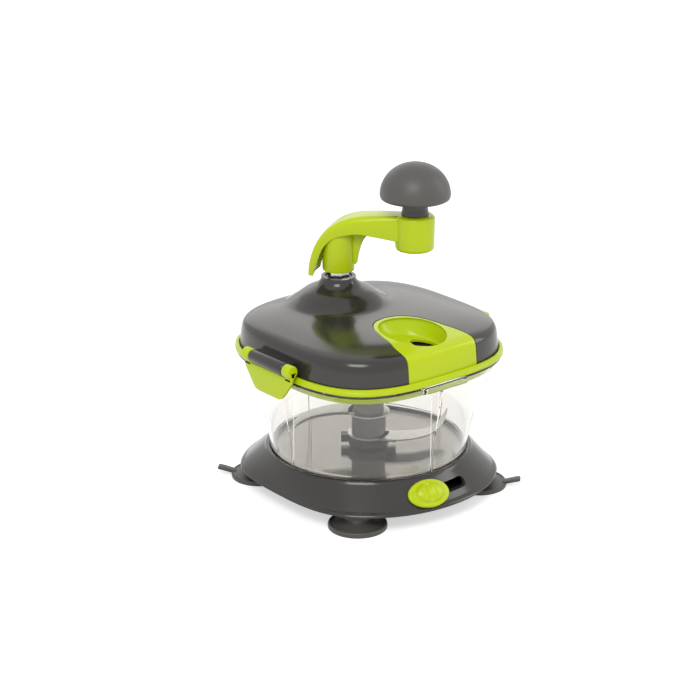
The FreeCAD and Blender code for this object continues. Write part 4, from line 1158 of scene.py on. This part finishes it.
def surround():
    """White background: at full strength where it is looked at, softer where it lights."""
    world = bpy.data.worlds.new("surround")
    world.use_nodes = True
    tree = world.node_tree
    tree.nodes.clear()
    out = tree.nodes.new("ShaderNodeOutputWorld")
    mix = tree.nodes.new("ShaderNodeMixShader")
    lit = placed(tree, "ShaderNodeBackground", Color=WHITE, Strength=SURROUND_LIGHT)
    white = placed(tree, "ShaderNodeBackground", Color=WHITE)
    tree.links.new(seen_directly(tree), mix.inputs["Fac"])
    tree.links.new(lit.outputs[0], mix.inputs[1])
    tree.links.new(white.outputs[0], mix.inputs[2])
    tree.links.new(mix.outputs[0], out.inputs["Surface"])
    bpy.context.scene.world = world


def floor_material():
    """Matt white that keeps the shadow; a little of its own light for rays that look at
    it lifts the open floor to white."""
    material = bpy.data.materials.new("white_floor")
    material.use_nodes = True
    tree = material.node_tree
    tree.nodes.clear()
    out = tree.nodes.new("ShaderNodeOutputMaterial")
    matt = placed(tree, "ShaderNodeBsdfDiffuse", Color=(0.80, 0.80, 0.80, 1.0))
    glow = placed(tree, "ShaderNodeEmission", Color=WHITE)
    level = tree.nodes.new("ShaderNodeMath")
    level.operation = "MULTIPLY"
    level.inputs[1].default_value = FLOOR_GLOW
    both = tree.nodes.new("ShaderNodeAddShader")
    tree.links.new(seen_directly(tree), level.inputs[0])
    tree.links.new(level.outputs[0], glow.inputs["Strength"])
    tree.links.new(matt.outputs[0], both.inputs[0])
    tree.links.new(glow.outputs[0], both.inputs[1])
    tree.links.new(both.outputs[0], out.inputs["Surface"])
    return material


surround()
sheet = bpy.data.meshes.new("floor")
reach = FLOOR_REACH
sheet.from_pydata([(-reach, -reach, 0), (reach, -reach, 0), (reach, reach, 0),
                   (-reach, reach, 0)], [], [(0, 1, 2, 3)])
floor = bpy.data.objects.new("floor", sheet)
bpy.context.scene.collection.objects.link(floor)
sheet.materials.append(floor_material())


def lamp(name, place, size, power, colour=(1.0, 1.0, 1.0)):
    """Flat oblong lamp at a place in metres, turned so that its -z axis meets LAMP_AIM."""
    light = bpy.data.lights.new(name, "AREA")
    light.color = colour
    light.shape = "RECTANGLE"
    light.size, light.size_y = size
    light.energy = power
    made = bpy.data.objects.new(name, light)
    made.location = place
    made.rotation_euler = (Vector(LAMP_AIM) - Vector(place)).to_track_quat("-Z", "Y").to_euler()
    bpy.context.scene.collection.objects.link(made)


lamp("key", (-1.1, -0.9, 1.6), (0.9, 0.9), 16.0)
lamp("fill", (1.5, -0.9, 0.9), (0.5, 1.2), 5.0)
lamp("back", (0.9, 1.3, 0.75), (1.8, 0.8), 3.0, (1.0, 0.93, 0.86))

lens = bpy.data.cameras.new("camera")
lens.lens = 103.18
lens.sensor_width = 36.0
lens.clip_end = 20.0
camera = bpy.data.objects.new("camera", lens)
place = (CAMERA_TARGET + CAMERA_BACK * CAMERA_DISTANCE - CAMERA_RIGHT * CAMERA_LEFT
         + CAMERA_UP * CAMERA_RISE)
camera.location = place * MM
camera.rotation_euler = (-CAMERA_BACK).to_track_quat("-Z", "Y").to_euler()
bpy.context.scene.collection.objects.link(camera)
bpy.context.scene.camera = camera
bpy.context.scene.view_settings.view_transform = "Standard"
